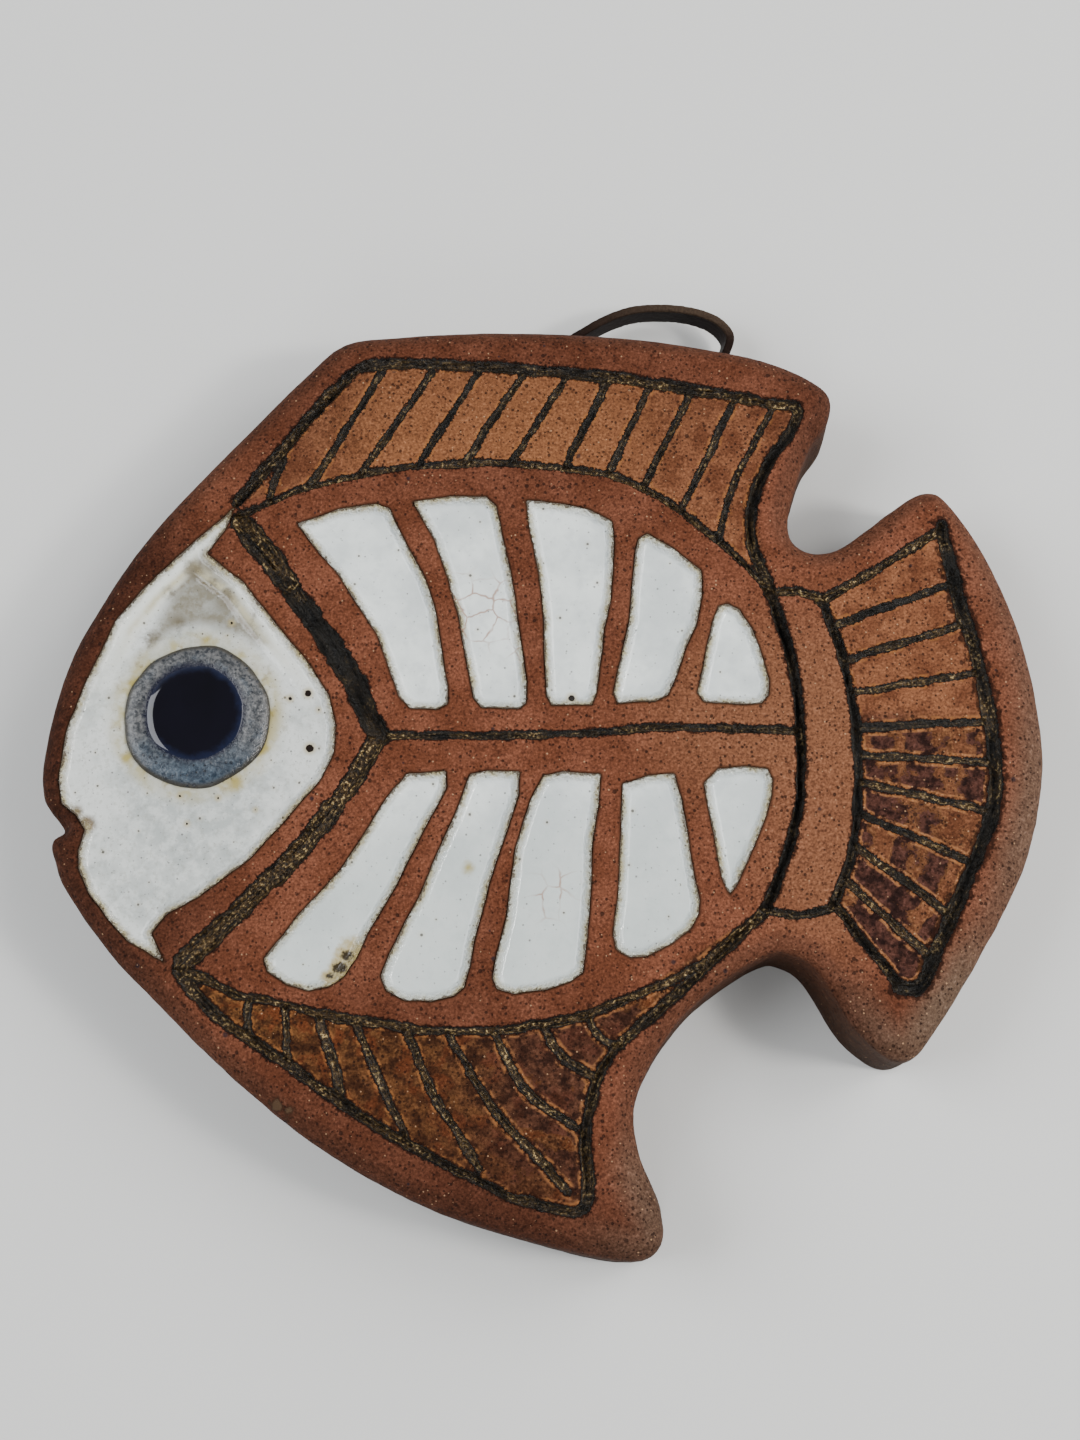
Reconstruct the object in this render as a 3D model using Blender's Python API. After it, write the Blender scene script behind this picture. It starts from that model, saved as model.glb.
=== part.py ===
"""A fish-shaped stoneware trivet lying face up, with a leather hanging loop behind its back fin.

The slab is one fired piece. X runs from the snout to the tail, Y towards the back fin, and Z up. The outline
and the carving are drawn in hundredths of the fish's length, with X from the snout and Y from the lateral
line. Thicknesses, depths and widths are real sizes in metres.
"""

import math

import bmesh
import bpy
import numpy as np

# The slab
FISH_LENGTH = 0.190
THICKNESS = 0.022
WALL_FLARE = 0.0006
FOOT_BEVEL = 0.0010
SHOULDER_WIDTH = 0.0048
SHOULDER_DROP = 0.0050
SHOULDER_STEPS = 4
FOLD_REACH = 14
WELD = 0.00002
OUTLINE_STEPS = 3

# The carved lines
BORDER_WIDTH = 0.0019
BORDER_DEPTH = 0.0016
RAY_WIDTH = 0.0016
RAY_DEPTH = 0.0013
LATERAL_WIDTH = 0.0015
LATERAL_DEPTH = 0.0012
GILL_WIDTH = 0.0040
GILL_DEPTH = 0.0022
TAIL_HEM_WIDTH = 0.0025
TAIL_HEM_DEPTH = 0.0018
GROOVE_TAPER = 0.55
GROOVE_STEPS = 2
CUT_CLEARANCE = 0.0012

# The glazed wells and the eye
RIB_WIDTH = 0.0045
WELL_DEPTH = 0.0011
WELL_CORNER = 0.0030
WELL_DRAFT = 0.0004
HEAD_DEPTH = 0.0010
EYE_RADIUS = 0.0137
PUPIL_RADIUS = 0.0093
EYE_RISE = 0.0014
EYE_SINK = 0.0015
PUPIL_DIP = 0.0005
EYE_SIDES = 36
MOUTH_RADIUS = 0.0024
MOUTH_DROP = 0.0120
MOUTH_SIDES = 12

# The leather loop
STRAP_HEIGHT = 0.0055
STRAP_THICKNESS = 0.0016
STRAP_BASE = 0.0030
STRAP_SPAN = 0.0364
STRAP_REACH = 0.0102
STRAP_STEPS = 2
SLOT_GAP = 0.0003
SLOT_ROOM = 0.0010

OUTLINE = [
    (29.1, 42.1), (34.9, 43.0), (43.3, 43.5), (51.8, 43.4), (60.2, 42.8), (66.5, 41.8), (72.8, 40.4),
    (77.3, 38.5), (79.8, 36.4), (79.5, 33.6), (77.6, 30.8), (76.2, 26.9), (75.1, 22.9), (75.5, 20.5),
    (77.4, 19.3), (79.9, 19.7), (82.8, 21.6), (87.3, 25.0), (89.7, 25.8), (91.4, 24.8), (94.4, 20.4),
    (97.3, 13.7), (99.1, 6.6), (99.9, -1.5), (98.9, -8.5), (96.5, -15.2), (92.3, -22.5), (87.7, -29.3),
    (85.6, -31.7), (83.2, -31.8), (80.1, -29.3), (77.9, -25.5), (76.2, -23.1), (74.2, -21.9), (71.7, -21.9),
    (66.0, -25.4), (62.3, -29.2), (60.0, -32.8), (58.6, -36.8), (59.2, -41.2), (61.1, -45.8), (61.1, -49.3),
    (58.4, -50.8), (51.5, -49.6), (40.0, -46.2), (29.4, -40.8), (20.4, -34.0), (12.4, -26.4), (7.3, -21.3),
    (3.0, -15.5), (0.9, -9.6), (0.0, -3.2), (0.8, 2.6), (2.5, 8.5), (6.0, 15.4), (10.1, 21.7), (15.0, 27.5),
    (19.8, 32.8), (24.9, 38.3),
]
# The lower notch is cut steeper: its middle, how far that reaches, and the share of the shoulder left there
STEEP_MIDDLE = (77.0, -24.0)
STEEP_REACH = 14.0
STEEP_SHARE = 0.42
HEAD_GLAZE = [
    (16.0, 20.9), (13.2, 18.4), (9.6, 14.8), (7.1, 11.7), (4.3, 5.1), (2.7, 0.4), (2.2, -4.8), (2.6, -7.1),
    (4.1, -8.2), (5.0, -9.6), (4.5, -11.7), (4.6, -13.5), (5.8, -16.1), (7.9, -18.7), (9.8, -20.6),
    (11.6, -19.3), (16.3, -16.3), (21.1, -12.7), (24.8, -8.5), (28.0, -4.6), (29.2, -2.1), (29.4, 0.8),
    (28.6, 3.9), (26.6, 7.1), (23.3, 11.0), (19.6, 15.7), (17.0, 19.2),
]
EYE_CENTRE = (15.4, 1.9)
MOUTH = (0.9, -9.3)

GILL_UPPER = [(19.2, 22.0), (24.8, 14.9), (30.2, 6.6), (33.6, -0.2)]
GILL_LOWER = [(33.6, -0.2), (30.6, -5.6), (26.2, -11.6), (21.2, -16.8), (14.9, -22.9)]
LATERAL_LINE = [(33.2, -0.2), (50.3, -0.1), (62.0, 0.6), (75.4, 0.3)]
BODY_UPPER = [
    (18.8, 22.6), (25.9, 25.8), (33.6, 27.6), (41.6, 28.4), (50.0, 28.1), (57.0, 27.0), (62.4, 24.4),
    (68.0, 19.9), (72.8, 14.8),
]
BODY_LOWER = [
    (14.6, -23.1), (21.4, -25.9), (32.2, -28.2), (41.6, -29.2), (50.0, -28.6), (59.4, -25.7), (66.4, -21.9),
    (71.6, -17.4),
]
BODY_RIGHT = [(72.8, 14.8), (74.7, 8.2), (75.5, 0.4), (75.3, -6.0), (73.8, -12.2), (71.6, -17.4)]
DORSAL_EDGE = [
    (18.8, 24.2), (23.3, 30.0), (29.2, 37.2), (32.6, 39.2), (42.5, 39.1), (54.0, 38.2), (65.5, 36.5),
    (73.4, 34.9), (76.2, 34.5), (75.6, 32.2), (73.0, 28.4), (71.2, 23.6), (71.2, 19.6), (72.9, 14.9),
]
ANAL_EDGE = [
    (14.6, -23.4), (18.3, -27.6), (25.3, -32.3), (32.4, -37.2), (41.6, -42.2), (49.0, -45.4), (54.0, -45.6),
    (54.0, -38.8), (55.6, -32.8), (59.0, -28.9), (65.8, -23.0), (71.6, -17.5),
]
PEDUNCLE_UPPER = [(72.6, 14.6), (78.1, 14.0)]
PEDUNCLE_LOWER = [(71.4, -17.5), (74.6, -18.1), (78.4, -17.2)]
TAIL_ROOT = [(78.0, 14.0), (79.9, 8.1), (81.0, 1.0), (81.1, -6.2), (80.1, -12.2), (78.2, -17.2)]
TAIL_TOP = [(77.8, 13.7), (84.6, 17.6), (90.5, 21.4)]
TAIL_HEM = [
    (90.4, 21.6), (91.8, 14.4), (93.8, 5.9), (94.7, -2.6), (93.9, -8.6), (91.0, -15.4), (88.0, -21.6),
    (86.4, -25.0), (84.3, -25.0),
]
TAIL_BOTTOM = [(78.3, -16.8), (81.1, -20.6), (84.6, -25.2)]

# Each ray runs from its fin's outer edge to the body, the last one of the back fin with a bend
DORSAL_RAYS = [
    [(23.4, 28.9), (22.0, 24.8)],
    [(33.4, 38.5), (26.2, 26.1)],
    [(38.6, 38.6), (31.2, 27.2)],
    [(43.2, 38.5), (37.0, 28.0)],
    [(47.9, 38.3), (41.9, 28.4)],
    [(52.4, 38.0), (46.7, 28.5)],
    [(56.7, 37.4), (52.2, 28.0)],
    [(61.0, 36.8), (56.6, 27.2)],
    [(65.1, 36.0), (60.1, 25.6)],
    [(69.6, 35.3), (64.1, 23.3)],
    [(73.7, 34.6), (69.6, 26.4), (67.8, 20.4)],
]
ANAL_RAYS = [
    [(21.4, -26.0), (21.6, -29.4)],
    [(25.1, -26.8), (25.4, -32.0)],
    [(28.4, -27.8), (29.5, -31.1), (30.6, -35.2)],
    [(32.0, -28.4), (34.0, -33.2), (36.9, -39.2)],
    [(36.9, -29.0), (39.2, -34.7), (44.0, -42.2)],
    [(41.0, -29.3), (45.0, -36.4), (52.4, -44.2)],
    [(45.2, -29.2), (48.2, -34.6), (53.2, -38.4)],
    [(50.0, -28.9), (51.9, -31.8), (55.2, -33.6)],
    [(54.2, -27.6), (55.4, -29.8), (57.6, -30.8)],
]
TAIL_RAYS = [
    [(79.2, 11.2), (91.2, 15.6)],
    [(80.3, 7.6), (92.5, 11.4)],
    [(80.9, 4.2), (93.5, 6.3)],
    [(81.1, 0.7), (94.1, 1.3)],
    [(81.3, -2.1), (94.3, -2.8)],
    [(81.3, -4.9), (94.0, -7.8)],
    [(81.0, -7.9), (92.4, -13.1)],
    [(80.7, -11.2), (89.6, -18.0)],
    [(79.5, -14.6), (87.5, -22.2)],
]

# A rib, or an end of a row: its place by the lateral line, its far end, and how far it bows tailwards
WELL_ROWS = {
    "upper": [
        ((37.2, 2.6), (24.6, 21.7), 1.3),
        ((41.6, 2.8), (35.2, 24.5), 1.0),
        ((49.3, 2.8), (46.7, 25.2), 0.4),
        ((55.9, 3.0), (58.3, 22.6), 0.3),
        ((62.6, 3.2), (66.2, 16.4), 0.3),
    ],
    "upper_last": [
        ((64.9, 3.2), (67.4, 13.6), 0.3),
        ((72.7, 3.2), (69.8, 12.9), 0.9),
    ],
    "lower": [
        ((36.3, -3.9), (22.4, -23.4), 0.4),
        ((41.8, -3.8), (32.5, -25.6), 0.6),
        ((48.9, -3.8), (43.6, -26.4), -0.1),
        ((56.8, -3.9), (55.2, -24.6), 0.1),
        ((64.3, -3.8), (66.4, -18.0), 0.5),
        ((72.9, -3.2), (68.7, -16.4), 1.1),
    ],
}
FAR_BOW = 0.05

# The loop leaves the rim at this X. Its points are shares of its span and of its reach from there
STRAP_START = 50.8
STRAP_ROUTE = [
    (-0.13, -0.55), (-0.07, -0.27), (0.00, 0.00), (0.08, 0.25), (0.18, 0.48), (0.28, 0.70), (0.39, 0.88),
    (0.50, 0.98), (0.62, 1.00), (0.72, 0.98), (0.82, 0.91), (0.91, 0.78), (0.97, 0.60), (1.00, 0.38),
    (0.98, 0.12), (0.94, -0.16), (0.89, -0.43), (0.83, -0.68),
]

SURFACES = {
    "clay": ((0.28, 0.105, 0.055), 0.85),
    "leather": ((0.085, 0.045, 0.03), 0.7),
}


def material(name):
    made = bpy.data.materials.new(name)
    made.use_nodes = True
    colour, roughness = SURFACES[name]
    shader = made.node_tree.nodes["Principled BSDF"]
    shader.inputs["Base Color"].default_value = (*colour, 1)
    shader.inputs["Roughness"].default_value = roughness
    shader.inputs["Metallic"].default_value = 0
    return made


def smooth_line(points, steps, closed=False):
    """A Catmull-Rom curve through the points, with that many steps from each to the next."""
    points = np.array(points, float)
    if closed:
        padded = np.concatenate([points[-1:], points, points[:2]])
    else:
        padded = np.concatenate([2 * points[:1] - points[1:2], points, 2 * points[-1:] - points[-2:-1]])
    share = (np.arange(steps) / steps)[:, None]
    pieces = []
    for a, b, c, d in zip(padded, padded[1:], padded[2:], padded[3:]):
        curve = 2 * b + (c - a) * share + (2 * a - 5 * b + 4 * c - d) * share**2
        pieces.append((curve + (3 * b - a - 3 * c + d) * share**3) / 2)
    if not closed:
        pieces.append(points[-1:])
    return np.concatenate(pieces)


def left_normals(line, closed=False):
    """The normal on the line's left at each point, lengthened at a bend so that a strip keeps its width."""
    ahead = np.roll(line, -1, axis=0) - line
    if not closed:
        ahead[-1] = ahead[-2]
    ahead /= np.linalg.norm(ahead, axis=1)[:, None]
    behind = np.roll(ahead, 1, axis=0)
    if not closed:
        behind[0] = ahead[0]
    way = ahead + behind
    way /= np.linalg.norm(way, axis=1)[:, None]
    stretch = np.minimum(1 / np.maximum((way * ahead).sum(axis=1), 0.5), 1.4)
    return np.stack([-way[:, 1], way[:, 0]], axis=1) * stretch[:, None]


def crossing(a, b, c, d):
    """The point where the line from a to b crosses the line from c to d, or None."""
    first, second, apart = b - a, d - c, c - a
    across = first[0] * second[1] - first[1] * second[0]
    if abs(across) < 1e-14:
        return None
    along = (apart[0] * second[1] - apart[1] * second[0]) / across
    along_second = (apart[0] * first[1] - apart[1] * first[0]) / across
    if 0 <= along <= 1 and 0 <= along_second <= 1:
        return a + first * along
    return None


def moved_in(outline, distance):
    """A clockwise outline moved in by one distance, or by one for each point.

    Where a corner closes up, its points come together in one.
    """
    distances = np.broadcast_to(distance, len(outline))
    moved = outline - left_normals(outline, closed=True) * distances[:, None]
    count = len(moved)
    for i in range(count):
        for reach in range(min(FOLD_REACH, count // 3), 1, -1):
            inside = [(i + k) % count for k in range(1, reach + 1)]
            last = inside[-1]
            met = crossing(moved[i], moved[inside[0]], moved[last], moved[(last + 1) % count])
            if met is not None:
                moved[inside] = met
                break
    return moved


class Fish:
    """Puts a place given in hundredths of the length where it belongs in the model, and holds its outline."""

    def __init__(self):
        unit = FISH_LENGTH / 100
        drawn = smooth_line(OUTLINE, OUTLINE_STEPS, closed=True) * unit
        foot = drawn + left_normals(drawn, closed=True) * WALL_FLARE
        self.unit = unit
        self.middle = (foot.min(axis=0) + foot.max(axis=0)) / 2
        self.outline = drawn - self.middle
        away = np.linalg.norm(drawn / unit - STEEP_MIDDLE, axis=1) / STEEP_REACH
        self.softness = 1 - (1 - STEEP_SHARE) * np.exp(-2 * away**4)

    def place(self, points):
        return np.array(points, float) * self.unit - self.middle

    def foot(self, flare, height):
        """The outline moved out by a distance, at one height."""
        return flat_ring(moved_in(self.outline, -flare), height)

    def shoulder(self, angle):
        """A ring of the shoulder, at an angle up from the wall. A quarter turn is the flat face's edge."""
        inset = SHOULDER_WIDTH * (1 - math.cos(angle)) * self.softness
        drop = SHOULDER_DROP * (1 - math.sin(angle)) * self.softness
        return np.column_stack([moved_in(self.outline, inset), THICKNESS - drop])


def new_object(name, points, faces, surface=None):
    mesh = bpy.data.meshes.new(name)
    mesh.from_pydata([tuple(map(float, p)) for p in points], [], faces)
    work = bmesh.new()
    work.from_mesh(mesh)
    bmesh.ops.remove_doubles(work, verts=work.verts, dist=WELD)
    work.to_mesh(mesh)
    work.free()
    made = bpy.data.objects.new(name, mesh)
    bpy.context.scene.collection.objects.link(made)
    if surface:
        mesh.materials.append(surface)
    return made


def loft(name, rings, surface=None):
    """A closed solid from rings of as many points each, from the bottom up and clockwise from above."""
    count = len(rings[0])
    faces = [tuple(range(count))]
    for low in range(0, (len(rings) - 1) * count, count):
        for i in range(count):
            j = (i + 1) % count
            faces.append((low + i, low + count + i, low + count + j, low + j))
    faces.append(tuple(range(len(rings) * count - 1, (len(rings) - 1) * count - 1, -1)))
    return new_object(name, np.concatenate(rings), faces, surface)


def clockwise(points):
    x, y = points[:, 0], points[:, 1]
    area = (x * np.roll(y, -1) - np.roll(x, -1) * y).sum()
    return points if area < 0 else points[::-1]


def flat_ring(points, height):
    return np.column_stack([points, np.full(len(points), height)])


def groove_cutter(name, fish, points, width, depth):
    """A strip along a carved line, narrower at its floor than at the top face."""
    drawn = smooth_line(points, GROOVE_STEPS) if len(points) > 2 else np.array(points, float)
    line = fish.place(drawn)
    across = left_normals(line)
    along = (line[0] - line[1]) / np.linalg.norm(line[0] - line[1])
    line[0] += along * width / 4
    along = (line[-1] - line[-2]) / np.linalg.norm(line[-1] - line[-2])
    line[-1] += along * width / 4
    slope = (1 - GROOVE_TAPER) / depth
    rings = []
    for height in (-depth, CUT_CLEARANCE):
        half = width / 2 * (1 + slope * height)
        strip = np.concatenate([line + across * half, (line - across * half)[::-1]])
        rings.append(flat_ring(strip, THICKNESS + height))
    return loft(name, rings)


def bowed(start, end, bow, steps=5):
    """Points on a shallow arc from start to end, with its middle moved to the right of the way it runs."""
    start, end = np.array(start, float), np.array(end, float)
    share = np.linspace(0, 1, steps)[:, None]
    way = end - start
    right = np.array([way[1], -way[0]]) / np.linalg.norm(way)
    return start + way * share + right * bow * 4 * share * (1 - share)


def round_corners(sides, radius):
    """The closed line of some sides, each corner between two of them cut to a curve of about that radius."""
    outline = []
    for side, following in zip(sides, sides[1:] + sides[:1]):
        corner = side[-1]
        reach = min(radius, 0.42 * np.linalg.norm(side[-1] - side[0]))
        reach = min(reach, 0.42 * np.linalg.norm(following[-1] - following[0]))
        before = side[-2] - corner
        after = following[1] - corner
        a = corner + before / np.linalg.norm(before) * min(reach, 0.9 * np.linalg.norm(before))
        b = corner + after / np.linalg.norm(after) * min(reach, 0.9 * np.linalg.norm(after))
        outline.extend(side[1:-1])
        for share in (0, 0.33, 0.67, 1):
            outline.append(a * (1 - share) ** 2 + corner * 2 * share * (1 - share) + b * share**2)
    return np.array(outline)


def well_outline(fish, first, second, left_rib, right_rib):
    """The space between two neighbouring sides, from near the lateral line to the body's edge.

    A side that is a rib's middle line gives up half the rib's width.
    """
    (near_a, far_a, bow_a), (near_b, far_b, bow_b) = first, second
    near_a, far_a, near_b, far_b = (fish.place([p])[0] for p in (near_a, far_a, near_b, far_b))
    side = 1 if far_a[1] > near_a[1] else -1
    left = bowed(near_a, far_a, side * bow_a * fish.unit)
    right = bowed(near_b, far_b, side * bow_b * fish.unit)
    if left_rib:
        left[:, 0] += RIB_WIDTH / 2
    if right_rib:
        right[:, 0] -= RIB_WIDTH / 2
    far = bowed(left[-1], right[-1], -side * FAR_BOW * np.linalg.norm(right[-1] - left[-1]), 4)
    near = np.linspace(right[0], left[0], 3)
    return clockwise(round_corners([left, far, right[::-1], near], WELL_CORNER))


def pocket_cutter(name, outline, depth):
    """A shallow pocket with a little draft on its walls."""
    floor = moved_in(outline, WELL_DRAFT)
    brim = moved_in(outline, -WELL_DRAFT * CUT_CLEARANCE / depth)
    return loft(name, [flat_ring(floor, THICKNESS - depth), flat_ring(brim, THICKNESS + CUT_CLEARANCE)])


def circle(centre, radius, sides):
    angle = -2 * math.pi * np.arange(sides) / sides
    return np.array(centre) + radius * np.column_stack([np.cos(angle), np.sin(angle)])


def eye_boss(fish):
    """A low round boss with a soft outer edge, standing on the head's glaze, with a dished pupil."""
    centre = fish.place([EYE_CENTRE])[0]
    floor = THICKNESS - HEAD_DEPTH
    profile = [
        (1.00, -EYE_SINK),
        (1.00, 0.35 * EYE_RISE),
        (0.95, 0.80 * EYE_RISE),
        (0.88, EYE_RISE),
        (0.80, 0.95 * EYE_RISE),
    ]
    rings = [flat_ring(circle(centre, EYE_RADIUS * r, EYE_SIDES), floor + z) for r, z in profile]
    rings.append(flat_ring(circle(centre, PUPIL_RADIUS, EYE_SIDES), floor + EYE_RISE - 0.5 * PUPIL_DIP))
    rings.append(flat_ring(circle(centre, 0.93 * PUPIL_RADIUS, EYE_SIDES), floor + EYE_RISE - PUPIL_DIP))
    return loft("eye_boss", rings)


def mouth_cutter(fish):
    """A round nick down the wall, leaning out so that it runs out above the foot."""
    centre = fish.place([MOUTH])[0]
    top = circle(centre + np.array([MOUTH_RADIUS * 0.5, 0]), MOUTH_RADIUS, MOUTH_SIDES)
    low = circle(centre - np.array([MOUTH_RADIUS * 1.6, 0]), MOUTH_RADIUS, MOUTH_SIDES)
    rings = [flat_ring(low, THICKNESS - MOUTH_DROP), flat_ring(top, THICKNESS + CUT_CLEARANCE)]
    return loft("mouth_cutter", rings)


def strap_line(fish):
    """The loop's middle line seen from above: in the slab, round behind the back fin, and in again.

    Its route is given from where it leaves the rim, in shares of its span and of its reach.
    """
    start_x = fish.place([(STRAP_START, 0)])[0][0]
    back = fish.outline[fish.outline[:, 1] > 0]
    start = np.array([start_x, back[np.abs(back[:, 0] - start_x).argmin()][1]])
    route = start + np.array(STRAP_ROUTE) * (STRAP_SPAN, STRAP_REACH)
    return smooth_line(route, STRAP_STEPS)


def strap_solid(name, line, thickness, base, height, surface=None):
    across = left_normals(line) * thickness / 2
    band = clockwise(np.concatenate([line + across, (line - across)[::-1]]))
    return loft(name, [flat_ring(band, base), flat_ring(band, base + height)], surface)


def slot_cutter(line):
    """The loop's own band, wider by the gap and longer by the room. It cuts a slot where each end goes in."""
    start = (line[0] - line[1]) / np.linalg.norm(line[0] - line[1]) * SLOT_ROOM
    end = (line[-1] - line[-2]) / np.linalg.norm(line[-1] - line[-2]) * SLOT_ROOM
    longer = np.concatenate([[line[0] + start], line[1:-1], [line[-1] + end]])
    width = STRAP_THICKNESS + 2 * SLOT_GAP
    height = STRAP_HEIGHT + 2 * SLOT_GAP
    return strap_solid("loop_slots", longer, width, STRAP_BASE - SLOT_GAP, height)


def carving(fish):
    """Every cutter for the top face."""
    made = []
    borders = {
        "body_upper": (BODY_UPPER, BORDER_WIDTH, BORDER_DEPTH),
        "body_lower": (BODY_LOWER, BORDER_WIDTH, 0.94 * BORDER_DEPTH),
        "body_right": (BODY_RIGHT, BORDER_WIDTH, 1.06 * BORDER_DEPTH),
        "dorsal_edge": (DORSAL_EDGE, BORDER_WIDTH, 1.12 * BORDER_DEPTH),
        "anal_edge": (ANAL_EDGE, BORDER_WIDTH, 1.09 * BORDER_DEPTH),
        "peduncle_upper": (PEDUNCLE_UPPER, RAY_WIDTH, 0.9 * BORDER_DEPTH),
        "peduncle_lower": (PEDUNCLE_LOWER, RAY_WIDTH, 0.9 * BORDER_DEPTH),
        "tail_root": (TAIL_ROOT, BORDER_WIDTH, BORDER_DEPTH),
        "tail_top": (TAIL_TOP, BORDER_WIDTH, 0.97 * BORDER_DEPTH),
        "tail_hem": (TAIL_HEM, TAIL_HEM_WIDTH, TAIL_HEM_DEPTH),
        "tail_bottom": (TAIL_BOTTOM, BORDER_WIDTH, 1.03 * BORDER_DEPTH),
        "lateral_line": (LATERAL_LINE, LATERAL_WIDTH, LATERAL_DEPTH),
        "gill_upper": (GILL_UPPER, GILL_WIDTH, GILL_DEPTH),
        "gill_lower": (GILL_LOWER, GILL_WIDTH, 0.97 * GILL_DEPTH),
    }
    for name, (points, width, depth) in borders.items():
        made.append(groove_cutter(name, fish, points, width, depth))
    for fin, rays in (("dorsal", DORSAL_RAYS), ("anal", ANAL_RAYS), ("tail", TAIL_RAYS)):
        for i, points in enumerate(rays):
            made.append(groove_cutter(f"{fin}_ray_{i + 1}", fish, points, RAY_WIDTH, RAY_DEPTH))
    for row, sides in WELL_ROWS.items():
        wells = len(sides) - 1
        for i, (first, second) in enumerate(zip(sides, sides[1:])):
            outline = well_outline(fish, first, second, left_rib=i > 0, right_rib=i < wells - 1)
            made.append(pocket_cutter(f"{row}_well_{i + 1}", outline, WELL_DEPTH))
    head = clockwise(fish.place(smooth_line(HEAD_GLAZE, 3, closed=True)))
    made.append(pocket_cutter("head_well", head, HEAD_DEPTH))
    made.append(mouth_cutter(fish))
    return made


def slab(fish, surface):
    """The plain slab: a flared wall from the foot up, then a quarter round over to the flat face."""
    rings = [fish.foot(WALL_FLARE - FOOT_BEVEL, 0), fish.foot(WALL_FLARE, FOOT_BEVEL)]
    for step in range(SHOULDER_STEPS + 1):
        rings.append(fish.shoulder(math.pi / 2 * step / SHOULDER_STEPS))
    return loft("fish_trivet", rings, surface)


def combine(body, operation, others):
    """Cuts the others from the body, or joins them to it, in one Boolean, and hides them as helpers."""
    group = bpy.data.collections.new(f"{operation.lower()}_helpers")
    bpy.context.scene.collection.children.link(group)
    for other in others:
        bpy.context.scene.collection.objects.unlink(other)
        group.objects.link(other)
        other.hide_render = True
        other.display_type = "WIRE"
    modifier = body.modifiers.new(operation.title(), "BOOLEAN")
    modifier.operation = operation
    modifier.operand_type = "COLLECTION"
    modifier.collection = group
    modifier.solver = "EXACT"


def main():
    for old in list(bpy.data.objects):
        bpy.data.objects.remove(old)
    fish = Fish()
    body = slab(fish, material("clay"))
    line = strap_line(fish)
    combine(body, "DIFFERENCE", carving(fish) + [slot_cutter(line)])
    combine(body, "UNION", [eye_boss(fish)])
    strap = strap_solid("hanging_loop", line, STRAP_THICKNESS, STRAP_BASE, STRAP_HEIGHT, material("leather"))
    for piece in (body, strap):
        piece.data.shade_smooth()
        piece.data.set_sharp_from_angle(angle=math.radians(35))


main()
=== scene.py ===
# A fish-shaped stoneware trivet, carved and glazed, with a leather hanging loop behind its back fin
import math

import bmesh
import bpy
import numpy as np
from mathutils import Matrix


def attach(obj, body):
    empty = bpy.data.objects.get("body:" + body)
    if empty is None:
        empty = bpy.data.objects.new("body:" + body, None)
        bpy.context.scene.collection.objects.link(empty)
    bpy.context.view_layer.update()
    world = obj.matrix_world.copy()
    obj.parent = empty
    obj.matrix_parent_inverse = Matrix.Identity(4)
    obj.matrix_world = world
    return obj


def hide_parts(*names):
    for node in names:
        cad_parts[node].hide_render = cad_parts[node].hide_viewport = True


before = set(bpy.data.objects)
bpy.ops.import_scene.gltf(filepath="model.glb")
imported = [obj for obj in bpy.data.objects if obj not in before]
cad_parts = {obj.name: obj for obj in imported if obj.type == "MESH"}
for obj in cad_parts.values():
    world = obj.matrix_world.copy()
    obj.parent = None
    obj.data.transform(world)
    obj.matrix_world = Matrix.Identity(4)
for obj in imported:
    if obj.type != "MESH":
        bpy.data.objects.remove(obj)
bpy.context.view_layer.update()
mm = 0.001

# Places on the fish are hundredths of its length: X from the snout, Y up from the lateral line
fish = {"length": 190.0, "middle": (94.905, -6.9085), "top": 22.0, "reach": 9.0}

outline = [
    (29.1, 42.1), (34.9, 43.0), (43.3, 43.5), (51.8, 43.4), (60.2, 42.8), (66.5, 41.8), (72.8, 40.4),
    (77.3, 38.5), (79.8, 36.4), (79.5, 33.6), (77.6, 30.8), (76.2, 26.9), (75.1, 22.9), (75.5, 20.5),
    (77.4, 19.3), (79.9, 19.7), (82.8, 21.6), (87.3, 25.0), (89.7, 25.8), (91.4, 24.8), (94.4, 20.4),
    (97.3, 13.7), (99.1, 6.6), (99.9, -1.5), (98.9, -8.5), (96.5, -15.2), (92.3, -22.5), (87.7, -29.3),
    (85.6, -31.7), (83.2, -31.8), (80.1, -29.3), (77.9, -25.5), (76.2, -23.1), (74.2, -21.9), (71.7, -21.9),
    (66.0, -25.4), (62.3, -29.2), (60.0, -32.8), (58.6, -36.8), (59.2, -41.2), (61.1, -45.8), (61.1, -49.3),
    (58.4, -50.8), (51.5, -49.6), (40.0, -46.2), (29.4, -40.8), (20.4, -34.0), (12.4, -26.4), (7.3, -21.3),
    (3.0, -15.5), (1.75, -12.6), (1.3, -11.2), (1.55, -10.3), (2.35, -9.5), (1.9, -8.5), (0.95, -7.4),
    (0.3, -6.1), (0.0, -3.2), (0.8, 2.6), (2.5, 8.5), (6.0, 15.4), (10.1, 21.7), (15.0, 27.5),
    (19.8, 32.8), (24.9, 38.3),
]

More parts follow.
